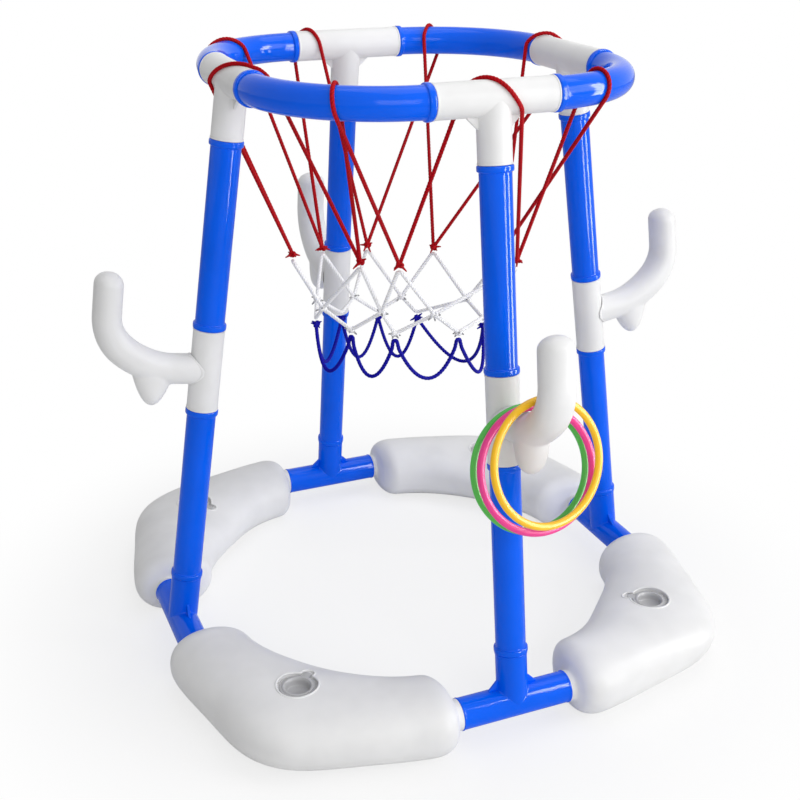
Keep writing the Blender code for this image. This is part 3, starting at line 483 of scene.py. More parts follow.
def bent(outline, radius, sweep, sides=64):
    """Carry (r, d) points along an arc about Z that starts at (radius, 0) towards +Y.

    The arc's point at distance d is R (cos a, sin a) with a = d / R held within 0..sweep, plus
    what is left of d along its tangent (-sin a, cos a). Round it, r cos b goes along the
    spoke (cos a, sin a) and r sin b down, so that the faces point outward.
    """
    reach, distance = outline[:, :1], outline[:, 1:]
    angle = np.clip(distance / radius, 0.0, sweep)
    beyond = distance - angle * radius
    section = turns(sides)
    spoke = radius + reach * np.cos(section)
    return grid(xyz(spoke * np.cos(angle) - beyond * np.sin(angle),
                    spoke * np.sin(angle) + beyond * np.cos(angle),
                    -reach * np.sin(section)), closed=True)


hoop_arc = HOOP_CORNER_RADIUS * math.pi / 2
hoop_outline = divided(tube_outline(0.0, hoop_arc), ROW_STEP)
hoop_tube = make_mesh("hoop_tube", [bent(hoop_outline, HOOP_CORNER_RADIUS, math.pi / 2)])
corner_centre = Matrix.Translation((TEE_HALF, TEE_HALF, HOOP_HEIGHT))
for corner, angle in CORNER_ANGLES.items():
    add_piece(f"hoop_tube_{corner}", hoop_tube, BLUE_PLASTIC, turn_z(angle - 45.0) @ corner_centre)
print("hoop tube:", round(hoop_arc / MM, 1), "mm along its arc")

# %% [markdown]
# ## Tees
#
# A tee is a straight run with a branch that grows out of it. Where two round walls of nearly
# the same size meet, the joint is a saddle: high in line with the run and low at its sides,
# which is the V that shows from the front. The branch's lowest row is laid on that saddle, a
# small round fills the corner above it, and the rest goes straight up to a thin lip. A small
# web on each side stiffens the corner, as on the real fitting.

# %% Tee shapes
FITTING_RADIUS = 17.0 * MM
SOCKET_RADIUS = 15.2 * MM
SOCKET_DEPTH = 26.0 * MM
BRANCH_RADIUS = 16.8 * MM
LIP_STEP = 0.5 * MM
LIP_WIDTH = 1.8 * MM
LIP_ROUND = 0.5 * MM
LIP_EDGE_ROUND = 0.6 * MM
JOINT_ROUND = 1.8 * MM
LEAST_ROUND = 0.1 * MM
SINK = 0.05 * MM
JOINT_ROWS, WALL_ROWS, WALL_START = 7, 12, 0.15
TEE_SIDES = 96


def sleeve_outline(half_length):
    """Closed outline of an open sleeve with a thin raised lip at both of its ends."""
    lip_start, lip = half_length - LIP_WIDTH, FITTING_RADIUS + LIP_STEP
    end = np.array([(FITTING_RADIUS, lip_start, LIP_ROUND), (lip, lip_start, LIP_ROUND),
                    (lip, half_length, LIP_EDGE_ROUND), (SOCKET_RADIUS, half_length, LIP_ROUND)])
    corners = np.vstack([end, end[::-1] * (1, -1, 1)])
    return rounded(corners[:, :2], corners[:, 2])[::-1]


def saddle(across, radius):
    """Height of a lying cylinder's top above its axis: sqrt(R^2 - x^2)."""
    return np.sqrt(np.maximum(radius ** 2 - across ** 2, 0.0))


def branch(length):
    """A tee's branch, a closed wall: its rows are (radius, height) at every angle a.

    The joint's round is F (1 - sin b), F (1 - cos b) for b in 0..90 degrees, added to the
    branch's radius and to the saddle's height. F fades as sin(a)^2 towards the run's sides.
    """
    angle = turns(TEE_SIDES)[None, :]
    fade = JOINT_ROUND * np.sin(angle) ** 2 + LEAST_ROUND
    bend = np.linspace(0.0, np.pi / 2, JOINT_ROWS)[:, None]
    radius = BRANCH_RADIUS + fade * (1 - np.sin(bend))
    height = saddle(radius * np.cos(angle), FITTING_RADIUS) + fade * (1 - np.cos(bend)) - SINK
    top = length - LIP_WIDTH
    wall = height[-1:] + (top - height[-1:]) * np.linspace(WALL_START, 1.0, WALL_ROWS)[:, None]
    lip = rounded([(BRANCH_RADIUS, top), (BRANCH_RADIUS + LIP_STEP, top),
                   (BRANCH_RADIUS + LIP_STEP, length), (SOCKET_RADIUS, length),
                   (SOCKET_RADIUS, length - SOCKET_DEPTH)], LIP_ROUND, closed=False)
    inner = saddle(SOCKET_RADIUS * np.cos(angle), SOCKET_RADIUS) - SINK
    flat = np.ones_like(angle)
    radii = np.concatenate([radius, np.full_like(wall, BRANCH_RADIUS), lip[:, :1] * flat,
                            SOCKET_RADIUS * flat])
    heights = np.concatenate([height, wall, lip[:, 1:] * flat, inner])
    return grid(xyz(radii * np.cos(angle), radii * np.sin(angle), heights), closed=True)


print("tee branch:", len(branch(BASE_BRANCH_LENGTH)[1]), "quads")

# %% Web and whole tee
def layered(loop, layers):
    """A loop of (x, y) points p as m + (p - m) scale, m its middle, at each (height, scale) layer."""
    heights, scales = np.array(layers).T
    middle = loop.mean(axis=0)
    flat = middle + (loop - middle) * scales[:, None, None]
    return grid(xyz(flat[..., 0], flat[..., 1], heights[:, None]))


WEB_ROOT, WEB_TIP, WEB_RIM = 15.5 * MM, 28.0 * MM, 2.0 * MM
WEB_ROUND = 1.2 * MM
WEB_HALF, WEB_FLAT = 1.5 * MM, 1.275 * MM
WEB_LAYERS = [(-WEB_HALF, 0.0), (-WEB_HALF, 0.75), (-WEB_FLAT, 1.0),
              (WEB_FLAT, 1.0), (WEB_HALF, 0.75), (WEB_HALF, 0.0)]


def web(side):
    """The small triangular web in the corner between a tee's run and its branch.

    Its layers are made level and then stood up: (x, y, z) becomes (z, x, y).
    """
    corners = [(WEB_ROOT, WEB_ROOT), (WEB_TIP, WEB_ROOT), (WEB_TIP, WEB_ROOT + WEB_RIM),
               (WEB_ROOT + WEB_RIM, WEB_TIP), (WEB_ROOT, WEB_TIP)]
    loop = rounded(np.array(corners) * (side, 1), WEB_ROUND)[::side]
    points, *rest = layered(loop, WEB_LAYERS)
    return (points[:, [2, 0, 1]], *rest)


def moved(piece_grid, place):
    """A grid with its points moved by a 4x4 place."""
    place = np.array(place)
    points = piece_grid[0] @ place[:3, :3].T + place[:3, 3]
    return (points, *piece_grid[1:])


def tee_grids(branch_length):
    """A run along Y, a branch up Z and a web on each side of it."""
    run = moved(turned(sleeve_outline(TEE_HALF), TEE_SIDES), Matrix.Rotation(-math.pi / 2, 4, "X"))
    return [run, branch(branch_length), web(1), web(-1)]


print("web:", len(web(1)[1]), "quads")

# %% Tees in their places
base_tee = make_mesh("base_tee", tee_grids(BASE_BRANCH_LENGTH))
hoop_tee = make_mesh("hoop_tee", tee_grids(HOOP_BRANCH_LENGTH))
upside_down = Matrix.Rotation(math.pi, 4, "Y")
for side, angle in LEG_ANGLES.items():
    add_piece(f"base_tee_{side}", base_tee, BLUE_PLASTIC, leg_place(angle))
    add_piece(f"hoop_tee_{side}", hoop_tee, WHITE_PLASTIC, leg_place(angle, LEG_LENGTH) @ upside_down)
print("tee:", len(hoop_tee.polygons), "faces")

# %% [markdown]
# ## Hooks and their sleeves
#
# A hook is one blown piece: a round arm leaves the sleeve, bends up into a fat round post, and
# a blunt heel points down under the bend. Drawn as single surfaces, the arm and the heel
# would meet in a hard line. So the two are overlapped, a voxel remesh melts them into one
# skin, and a few rounds of smoothing leave the soft crease that the real mould has. The skin is
# made once and used on all four legs. The sleeve is a turned tube with a hole for the hook.

# %% Hook shape
HOOK_ROOT_RADIUS = 16.4 * MM
HOOK_POST_REACH = 110.0 * MM
HOOK_TIP_RISE = 105.5 * MM
HOOK_LOWER_BEND = 91.0 * MM
HOOK_UPPER_BEND = 50.0 * MM
HOOK_SLOPE = math.radians(40.0)
HOOK_TIP_ROUND = 13.0 * MM
HOOK_HEEL_REACH = 57.5 * MM
HOOK_HEEL_DROP = 41.3 * MM
HOOK_HEEL_HALF_DEPTH = 24.2 * MM
HOOK_HEEL_HALF_WIDTH = 16.5 * MM
ARM_START = 6.0 * MM
ARM_ROWS, TIP_ROWS, HEEL_ROWS = 120, 14, 40
FULLNESS = 2.2
HOOK_HALF_DEPTHS = (16.4, 16.4, 16.8, 16.8, 15.0, 15.0)
HOOK_HALF_WIDTHS = (16.4, 16.4, 18.0, 18.0, 18.0, 18.0)


def eased(places, stations, values):
    """Values joined by smooth steps: v0 + (v1 - v0) s^2 (3 - 2s) between two stations."""
    stations, values = np.array(stations), np.array(values)
    index = np.clip(np.searchsorted(stations, places, side="right") - 1, 0, len(stations) - 2)
    share = (places - stations[index]) / (stations[index + 1] - stations[index])
    share = np.clip(share, 0.0, 1.0)
    return values[index] + (values[index + 1] - values[index]) * share ** 2 * (3 - 2 * share)


def signed(value, power):
    """sign(v) |v|^p, which makes a superellipse from a cosine and a sine."""
    return np.sign(value) * np.abs(value) ** power


def closed_ends(points):
    """Rows with a pole before the first and after the last, each the mean of its row."""
    poles = np.broadcast_to(points.mean(axis=1, keepdims=True), points.shape)
    return np.concatenate([poles[:1], points, poles[-1:]])


print("hook:", round(HOOK_POST_REACH / MM, 1), "mm out and", round(HOOK_TIP_RISE / MM, 1), "mm up")

# %% Hook arm and heel
def hook_arm(sides=64):
    """Superellipse sections |y/w|^2.2 + |n/d|^2.2 = 1 along a straight, two bends and a post.

    The half depths d and half widths w are eased between millimetres given at six stations.
    """
    join_up = HOOK_LOWER_BEND * (1 - math.cos(HOOK_SLOPE))
    straight = (HOOK_POST_REACH - HOOK_UPPER_BEND * (1 - math.sin(HOOK_SLOPE))
                - HOOK_LOWER_BEND * math.sin(HOOK_SLOPE))
    lower = HOOK_LOWER_BEND * HOOK_SLOPE
    upper = HOOK_UPPER_BEND * (math.pi / 2 - HOOK_SLOPE)
    post = HOOK_TIP_RISE - HOOK_TIP_ROUND - join_up - HOOK_UPPER_BEND * math.cos(HOOK_SLOPE)
    stations = np.cumsum([0.0, straight, lower * 2 / 3, lower / 3, upper, post])
    post_start = stations[-2]
    close = np.linspace(0.0, np.pi / 2, TIP_ROWS)
    places = np.append(np.linspace(ARM_START, stations[-1], ARM_ROWS), np.full(TIP_ROWS, stations[-1]))
    rise = np.append(np.zeros(ARM_ROWS), HOOK_TIP_ROUND * np.sin(close))
    shrink = np.append(np.ones(ARM_ROWS), np.cos(close))
    first = np.clip((places - straight) / HOOK_LOWER_BEND, 0.0, HOOK_SLOPE)
    second = np.clip((places - straight - lower) / HOOK_UPPER_BEND, 0.0, np.pi / 2 - HOOK_SLOPE)
    turn = first + second
    outward = (np.minimum(places, straight) + HOOK_LOWER_BEND * np.sin(first)
               + HOOK_UPPER_BEND * (np.sin(HOOK_SLOPE + second) - math.sin(HOOK_SLOPE)))
    up = (HOOK_LOWER_BEND * (1 - np.cos(first))
          + HOOK_UPPER_BEND * (math.cos(HOOK_SLOPE) - np.cos(HOOK_SLOPE + second))
          + np.maximum(places - post_start, 0.0) + rise)
    depth = eased(places, stations, HOOK_HALF_DEPTHS) * MM * shrink
    width = eased(places, stations, HOOK_HALF_WIDTHS) * MM * shrink
    angle = turns(sides)
    normal = signed(np.cos(angle), 2 / FULLNESS) * depth[:, None]
    across = signed(np.sin(angle), 2 / FULLNESS) * width[:, None]
    points = xyz(outward[:, None] - np.sin(turn)[:, None] * normal, -across,
                 up[:, None] + np.cos(turn)[:, None] * normal)
    return grid(closed_ends(points))


def hook_heel(sides=48):
    """A heel that tapers down to a dome: half depth D u, half width W sqrt(1 - s^4), s = 1 - u^2."""
    share = np.linspace(0.0, 1.0, HEEL_ROWS)
    drop = 1 - share ** 2
    half_depth = np.append(HOOK_HEEL_HALF_DEPTH * share, 0.0)[:, None]
    half_width = np.append(HOOK_HEEL_HALF_WIDTH * np.sqrt(1 - drop ** 4), 0.0)[:, None]
    heights = np.append(-HOOK_HEEL_DROP * drop, 0.0)[:, None]
    angle = turns(sides)
    return grid(xyz(HOOK_HEEL_REACH + half_depth * np.cos(angle), half_width * np.sin(angle), heights))


hook_parts = [hook_arm(), hook_heel()]
print("hook before melting:", sum(len(item[1]) for item in hook_parts), "quads")

# %% Melted hook
VOXEL = 1.1 * MM
MELT_ROUNDS = 12
ROOT_GAP = 0.9 * MM
HOOK_SPIGOT_RADIUS = 11.0 * MM
HOOK_SPIGOT_START, HOOK_SPIGOT_END = 5.0 * MM, 24.0 * MM
ROD_SIDES = 64
BEYOND = 60.0 * MM


def with_modifiers(mesh, settings):
    """Apply (kind, values) modifiers to a mesh one after another and return the new mesh."""
    obj = bpy.data.objects.new("work", mesh)
    bpy.context.scene.collection.objects.link(obj)
    for kind, values in settings:
        step = obj.modifiers.new(kind, kind)
        for name, value in values.items():
            setattr(step, name, value)
    bpy.context.view_layer.update()
    graph = bpy.context.evaluated_depsgraph_get()
    result = bpy.data.meshes.new_from_object(obj.evaluated_get(graph))
    bpy.data.objects.remove(obj, do_unlink=True)
    return result


def boolean(mesh, tool_mesh, operation):
    """A Boolean of one mesh with another, both closed."""
    tool = bpy.data.objects.new("tool", tool_mesh)
    bpy.context.scene.collection.objects.link(tool)
    values = {"operation": operation, "solver": "EXACT", "object": tool}
    result = with_modifiers(mesh, [("BOOLEAN", values)])
    bpy.data.objects.remove(tool, do_unlink=True)
    return result


def arc(radius, angles, centre=(0.0, 0.0)):
    """Points centre + r (cos a, sin a) at the given angles."""
    return radius * np.stack([np.cos(angles), np.sin(angles)], axis=1) + centre


def prism(loop, low, high):
    """A closed loop of (x, y) points carried from one height to another, with flat ends."""
    return layered(loop, [(low, 0.0), (low, 1.0), (high, 1.0), (high, 0.0)])


def cross_rod(radius, start, end):
    """A rod along X, for the hook's spigot and the hole that it goes into."""
    return moved(prism(arc(radius, turns(ROD_SIDES)), start, end), Matrix.Rotation(math.pi / 2, 4, "Y"))


melted = with_modifiers(make_mesh("hook", hook_parts), [
    ("REMESH", {"mode": "VOXEL", "voxel_size": VOXEL}),
    ("SMOOTH", {"factor": 0.5, "iterations": MELT_ROUNDS}),
])
sleeve_rod = prism(arc(FITTING_RADIUS + ROOT_GAP, turns(TEE_SIDES)), -BEYOND, BEYOND)
spigot = cross_rod(HOOK_SPIGOT_RADIUS, HOOK_SPIGOT_START, HOOK_SPIGOT_END)
melted = boolean(melted, make_mesh("sleeve_rod", [sleeve_rod]), "DIFFERENCE")
melted = boolean(melted, make_mesh("spigot", [spigot]), "UNION")
print("hook after melting:", len(melted.polygons), "faces")

# %% Hook collar, sleeve and places
COLLAR_WIDTH = 2.2 * MM
COLLAR_STEP = 0.9 * MM
COLLAR_LAP = 1.0 * MM
COLLAR_ROUND = 0.7 * MM
HOLE_GAP = 0.6 * MM
HOLE_START = 8.0 * MM


def collar():
    """The lip round the arm's root: it lies on the sleeve, x = sqrt(R^2 - y^2) + offset."""
    inner, outer = HOOK_ROOT_RADIUS - COLLAR_LAP, HOOK_ROOT_RADIUS + COLLAR_STEP
    outline = rounded([(inner, 0.0), (outer, 0.0), (outer, COLLAR_WIDTH), (inner, COLLAR_WIDTH)],
                      COLLAR_ROUND)
    angle = turns(TEE_SIDES)
    radius, offset = outline[:, :1], outline[:, 1:]
    across, upward = radius * np.cos(angle), radius * np.sin(angle)
    within = FITTING_RADIUS - 2 * SINK
    root = saddle(np.clip(across, -within, within), FITTING_RADIUS + ROOT_GAP)
    return grid(xyz(root + offset, across, upward), closed=True)


def joined(meshes):
    """Several meshes as one, without merging their points."""
    body = bmesh.new()
    for mesh in meshes:
        body.from_mesh(mesh)
    result = bpy.data.meshes.new("joined")
    body.to_mesh(result)
    body.free()
    return result


sleeve = make_mesh("sleeve", [turned(sleeve_outline(HOOK_TEE_HALF), TEE_SIDES)])
hole = cross_rod(HOOK_SPIGOT_RADIUS + HOLE_GAP, HOLE_START, HOOK_SPIGOT_END)
sleeve = boolean(sleeve, make_mesh("hole", [hole]), "DIFFERENCE")
hook = joined([melted, make_mesh("collar", [collar()])])
for side, angle in LEG_ANGLES.items():
    place = leg_place(angle, HOOK_TEE_RISE)
    add_piece(f"hook_tee_{side}", sleeve, WHITE_PLASTIC, place, f"swivel_{side}")
    add_piece(f"hook_{side}", hook, WHITE_PLASTIC, place, f"swivel_{side}")
print("sleeve:", len(sleeve.polygons), "faces")

# %% [markdown]
# ## Floats
#
# A float is a blown bag bent round the corner of the base ring: wide and swollen in the
# middle, slimmer in its arms, and drawn in by an S-shaped shoulder to a short round neck. Its
# skin is a superellipse whose four half sizes change along the bend. Its underside is flat, so
# the toy also stands. The filler recess in its top has stepped, rounded lips. It could be
# modelled into the grid, but its outline doesn't follow the rows, so it is cut out, and a
# rounded lip is laid along the cut.

# %% Float skin
BASE_CORNER_RADIUS = BASE_HALF_WIDTH - TEE_HALF
CORNER_REACH = TEE_HALF * math.sqrt(2)
NECK_RADIUS = 16.0 * MM
FLOAT_TOP = 36.0 * MM
FLOAT_DIP = 3.0 * MM
FLOAT_BOTTOM = 38.6 * MM
FLOAT_BELLY, FLOAT_ARM_INNER, BELLY_SPREAD = 71.0 * MM, 55.0 * MM, 24.0
FLOAT_BACK, FLOAT_ARM_OUTER, BACK_SPREAD = 69.0 * MM, 38.0 * MM, 16.0
DIP_SPREAD = 14.0
FLOAT_NECK = 7.0 * MM
FLOAT_SHOULDER = 26.0 * MM
SHOULDER_POWER, SHOULDER_EASE = 2.3, 21
FLOAT_SQUARENESS = 0.2
FLOOR_EASE = 0.6 * MM
NECK_LIP, NECK_LIP_WIDTH, NECK_LIP_SLOPE = 0.9 * MM, 2.4 * MM, 0.5 * MM
SPIGOT_ROUND = 0.3 * MM
SEAM_ANGLE = -0.42
SEAM_HEIGHT, SEAM_WIDTH = 0.006, 0.006
SEAM_REACH, SEAM_COLUMNS = 0.03, 7
SKIN_ROWS, CAVITY_ROWS, FLOAT_SIDES = 220, 70, 96
FINE_STEP = 0.25 * MM
ROW_PULL = 40.0 * MM
half_arc = BASE_CORNER_RADIUS * math.pi / 4


def float_sizes(degrees):
    """Inner, outer and top half sizes: a + (b - a) exp(-(angle / spread)^2) for each."""
    inner = FLOAT_ARM_INNER + (FLOAT_BELLY - FLOAT_ARM_INNER) * np.exp(-(degrees / BELLY_SPREAD) ** 2)
    outer = FLOAT_ARM_OUTER + (FLOAT_BACK - FLOAT_ARM_OUTER) * np.exp(-(degrees / BACK_SPREAD) ** 2)
    top = FLOAT_TOP - FLOAT_DIP * np.exp(-(degrees / DIP_SPREAD) ** 2)
    return inner, outer, top


def float_fullness(distance):
    """1 along the body, (1 - s^p)^(1/p) over the shoulder and 0 along the neck."""
    start = half_arc - FLOAT_NECK - FLOAT_SHOULDER
    share = np.clip((np.abs(distance) - start) / FLOAT_SHOULDER, 0.0, 1.0)
    return (1 - share ** SHOULDER_POWER) ** (1 / SHOULDER_POWER)


print("float half sizes at its corner:", *(np.array(float_sizes(0.0)) / MM).round(1), "mm")

# %% Float sections
def smoothed(rows, width, mode, **padding):
    """A running mean down the rows, weighted by 1 - cos over an odd width."""
    kernel = np.hanning(width + 2)[1:-1]
    sides = [(width // 2, width // 2)] + [(0, 0)] * (rows.ndim - 1)
    padded = np.pad(rows, sides, mode=mode, **padding)
    return np.apply_along_axis(np.convolve, 0, padded, kernel / kernel.sum(), mode="valid")


def float_skin(rows, inset=0.0, lid=np.inf):
    """Sections along the bend, each |a|^p + |b|^p = 1 scaled by its four half sizes.

    Rows lie closer where the fullness f changes: their spacing is as 1 / (1 + pull |f'|). A
    height h eases into the flat underside as floor + e ln(1 + exp((h - floor) / e)).
    """
    reach = half_arc - FACE_GAP
    fine = np.arange(-reach, reach, FINE_STEP)
    fullness = smoothed(float_fullness(fine), SHOULDER_EASE, "edge")
    slope = np.abs(np.gradient(fullness, fine)) * ROW_PULL + 1.0
    weight = np.concatenate([[0.0], np.cumsum(slope[1:] * np.diff(fine))])
    places = np.interp(np.linspace(0.0, weight[-1], rows), weight, fine)[:, None]
    full = np.interp(places, fine, fullness)
    turn = places / BASE_CORNER_RADIUS
    inner, outer, top = float_sizes(np.degrees(turn))
    lip_share = np.clip((np.abs(places) - reach + NECK_LIP_WIDTH) / NECK_LIP_SLOPE, 0.0, 1.0)
    neck = NECK_RADIUS + NECK_LIP * lip_share
    inner, outer, top, bottom = (neck + (size - neck) * full - inset
                                 for size in (inner, outer, top, FLOAT_BOTTOM))
    near_seam = np.linspace(-SEAM_REACH, SEAM_REACH, SEAM_COLUMNS)
    seams = np.concatenate([SEAM_ANGLE + near_seam, np.pi - SEAM_ANGLE + near_seam])
    angle = np.union1d(turns(FLOAT_SIDES), np.mod(seams, 2 * np.pi))
    power = 2.0 / (2.0 + FLOAT_SQUARENESS * full)
    off_seam = np.minimum(np.abs(np.sin((angle - SEAM_ANGLE) / 2)),
                          np.abs(np.sin((angle - np.pi + SEAM_ANGLE) / 2)))
    ridge = 1 + SEAM_HEIGHT * np.exp(-(off_seam / SEAM_WIDTH) ** 2) * (inset == 0)
    across = signed(np.cos(angle), power) * ridge
    upward = signed(np.sin(angle), power)
    spine_reach = BASE_CORNER_RADIUS + (outer - inner) / 2 + across * (inner + outer) / 2
    height = np.where(upward > 0, upward * top, upward * bottom)
    floor = -BASE_AXIS_HEIGHT + inset
    height = floor + FLOOR_EASE * np.logaddexp(0.0, (height - floor) / FLOOR_EASE)
    points = xyz(CORNER_REACH + spine_reach * np.cos(turn), spine_reach * np.sin(turn),
                 np.minimum(height, lid))
    return points[:, ::-1]


def float_spigot(end):
    """The spigot past one neck, turned about the run of the tee that it goes into."""
    outline = rounded([(NECK_RADIUS, -FACE_GAP), (SPIGOT_RADIUS, -FACE_GAP),
                       (SPIGOT_RADIUS, SPIGOT_LENGTH), (0.0, SPIGOT_LENGTH)], SPIGOT_ROUND, closed=False)
    spigot = turned(np.vstack([(0.0, -FACE_GAP), outline]), closed=False)
    along_run = Matrix.Rotation(-end * math.pi / 2, 4, "X")
    bend_end = Matrix.Translation((BASE_CORNER_RADIUS, 0.0, 0.0))
    bend_centre = Matrix.Translation((CORNER_REACH, 0.0, 0.0))
    return moved(spigot, bend_centre @ turn_z(45.0 * end) @ bend_end @ along_run)


skin = float_skin(SKIN_ROWS)
print("float skin:", skin.shape[:2], "rows and columns")

# %% Filler recess
FILLER_INSET = 8.0 * MM
FILLER_DEPTH = 5.5 * MM
FILLER_X = CORNER_REACH + BASE_CORNER_RADIUS - FILLER_INSET
FILLER_FLOOR = FLOAT_TOP - FLOAT_DIP - FILLER_DEPTH
FILLER_RADIUS = 22.5 * MM
FILLER_HOLE_RADIUS = 15.5 * MM
HOLE_LIP_REACH = 1.05 * FILLER_HOLE_RADIUS
NOTCH_RADIUS = 7.5 * MM
NOTCH_REACH = 24.5 * MM
LIP_RADIUS, HOLE_LIP_RADIUS = 1.3 * MM, 0.8 * MM
LIP_SINK = 0.5 * MM
LOOP_STEP, LOOP_EASE = 0.8 * MM, 7
CIRCLE_POINTS, NOTCH_POINTS = 150, 40


def filler_outline():
    """The recess's circle and its notch's circle as one loop, its corners eased."""
    meet = (NOTCH_REACH ** 2 + FILLER_RADIUS ** 2 - NOTCH_RADIUS ** 2) / (2 * NOTCH_REACH)
    wide = math.acos(-meet / FILLER_RADIUS)
    tight = math.acos((NOTCH_REACH - meet) / NOTCH_RADIUS)
    big = arc(FILLER_RADIUS, np.linspace(-wide, wide, CIRCLE_POINTS))
    notch_angles = np.linspace(tight, 2 * np.pi - tight, NOTCH_POINTS)
    small = arc(NOTCH_RADIUS, notch_angles, (-NOTCH_REACH, 0.0))
    loop = divided(np.concatenate([big, small]), LOOP_STEP)
    return smoothed(loop, LOOP_EASE, "wrap") + (FILLER_X, 0.0)


recess_loop = filler_outline()
print("recess loop:", len(recess_loop), "points")

# %% Lips
def float_top_at(spots):
    """Height of the float's top over (x, y) spots, from the same superellipse."""
    degrees = np.degrees(np.arctan2(spots[:, 1], spots[:, 0] - CORNER_REACH))
    inner, outer, top = float_sizes(degrees)
    reach = np.hypot(spots[:, 0] - CORNER_REACH, spots[:, 1]) - BASE_CORNER_RADIUS
    across = (reach - (outer - inner) / 2) / ((inner + outer) / 2)
    power = 2.0 + FLOAT_SQUARENESS
    return top * (1 - np.abs(across) ** power) ** (1 / power)


def unit(vectors):
    """Vectors divided by their own lengths."""
    return vectors / np.linalg.norm(vectors, axis=-1, keepdims=True)


def loop_ahead(loop):
    """The unit direction along a closed loop at each point: the next point less the one before."""
    return unit(np.roll(loop, -1, axis=0) - np.roll(loop, 1, axis=0))


def lip_along(loop, heights, radius, sides=14):
    """A round lip along a loop: columns go round the loop's own outward direction and up."""
    ahead = loop_ahead(loop)[:, None]
    angle = turns(sides)
    out = radius * np.cos(angle)
    return grid(xyz(loop[:, :1] + out * ahead[..., 1], loop[:, 1:] - out * ahead[..., 0],
                    heights[:, None] + radius * np.sin(angle)), closed=True)


recess_tops = float_top_at(recess_loop)
print("recess lip from", *(np.array([recess_tops.min(), recess_tops.max()]) / MM).round(1), "mm up")

# %% Floats in their places
FLOAT_WALL = 1.6 * MM
LID_DROP = 5.0 * MM
SOLID_ROWS = 8

inside = float_skin(CAVITY_ROWS, FLOAT_WALL, FILLER_FLOOR - LID_DROP)
filler_centre = (FILLER_X, 0.0)
hole_loop = arc(FILLER_HOLE_RADIUS, turns(ROD_SIDES), filler_centre)
cuts = [grid(closed_ends(inside[SOLID_ROWS:-SOLID_ROWS])), prism(recess_loop, FILLER_FLOOR, BEYOND),
        prism(hole_loop, 0.0, BEYOND)]
shell = make_mesh("float", [grid(closed_ends(skin))])
for cut in cuts:
    shell = boolean(shell, make_mesh("cut", [cut]), "DIFFERENCE")
recess_lip = lip_along(recess_loop, recess_tops - LIP_SINK, LIP_RADIUS)
hole_lip = lip_along(arc(HOLE_LIP_REACH, turns(ROD_SIDES), filler_centre),
                     np.full(ROD_SIDES, FILLER_FLOOR), HOLE_LIP_RADIUS, 10)
extras = make_mesh("extras", [recess_lip, hole_lip, float_spigot(1), float_spigot(-1)])
whole_float = joined([shell, extras])
base_axis = Matrix.Translation((0.0, 0.0, BASE_AXIS_HEIGHT))
for corner, angle in CORNER_ANGLES.items():
    add_piece(f"float_{corner}", whole_float, WHITE_PLASTIC, turn_z(angle) @ base_axis, sharp=35.0)
print("float:", len(whole_float.polygons), "faces")

# %% [markdown]
# ## Filler plugs
#
# A soft plug closes each float. It is a shallow cup with a flange that lies in the recess, a
# rounded inner ring, and a small tab over the notch to pull it by. The cup is turned, and the
# tab is a flattened finger that overlaps the flange.

# %% Plugs
PLUG_PLACE = Matrix.Translation((FILLER_X, 0.0, BASE_AXIS_HEIGHT + FILLER_FLOOR))
TAB_START, TAB_LENGTH, TAB_HEIGHT = -17.0 * MM, 9.5 * MM, 1.9 * MM
TAB_HALF_WIDTH, TAB_HALF_THICKNESS = 4.5 * MM, 0.75 * MM
TAB_TIP_START, TAB_POWER = 0.7, 0.6
CUP_SIDES, TAB_ROWS, TAB_SIDES = 72, 40, 24


def plug_grids():
    """The turned cup and its tab, with the flange's seat at the origin.

    The cup's corners are (radius, height, round) in millimetres. The tab is a superellipse
    whose half width narrows as sqrt(1 - t^2) over its tip and whose half thickness as
    sqrt(1 - t^4).
    """
    corners = np.array([
        (0.0, -8.7, 0.1), (14.9, -8.7, 1.0), (14.9, 0.3, 0.3), (19.5, 0.3, 0.5), (19.5, 2.4, 1.0),
        (16.6, 2.6, 0.5), (16.2, 3.6, 0.8), (14.4, 3.8, 0.8), (13.0, 1.2, 0.8), (12.4, -5.2, 1.6),
        (0.0, -6.2, 0.1),
    ]) * MM
    cup = turned(rounded(corners[:, :2], corners[:, 2], closed=False), CUP_SIDES, False)
    share = np.linspace(0.0, 1.0, TAB_ROWS)[:, None]
    tip = np.clip((share - TAB_TIP_START) / (1 - TAB_TIP_START), 0.0, 1.0)
    half_width = TAB_HALF_WIDTH * np.sqrt(1 - tip ** 2)
    half_thickness = TAB_HALF_THICKNESS * np.sqrt(1 - tip ** 4)
    angle = turns(TAB_SIDES)
    points = xyz(TAB_START - TAB_LENGTH * share, -half_width * signed(np.cos(angle), TAB_POWER),
                 TAB_HEIGHT + half_thickness * signed(np.sin(angle), TAB_POWER))
    return [cup, grid(closed_ends(points))]


plug = make_mesh("plug", plug_grids())
for corner, angle in CORNER_ANGLES.items():
    add_piece(f"float_plug_{corner}", plug, PLUG_PLASTIC, turn_z(angle) @ PLUG_PLACE, f"plug_{corner}")
print("plug flange at", round((BASE_AXIS_HEIGHT + FILLER_FLOOR) / MM, 1), "mm")

# %% [markdown]
# ## Throwing rings
#
# Three solid rings hang on the front hook. Each is a torus with a faint raised line round its
# outside, where the mould's halves meet. Its centre is the middle of its node's box, and its
# axis is the axis that it swings about.

# %% Rings
RING_RADIUS = 60.2 * MM
RING_SECTION = 3.8 * MM
RIDGE_HEIGHT, RIDGE_WIDTH = 0.12 * MM, 0.06
RING_ROWS, RING_SIDES = 192, 36


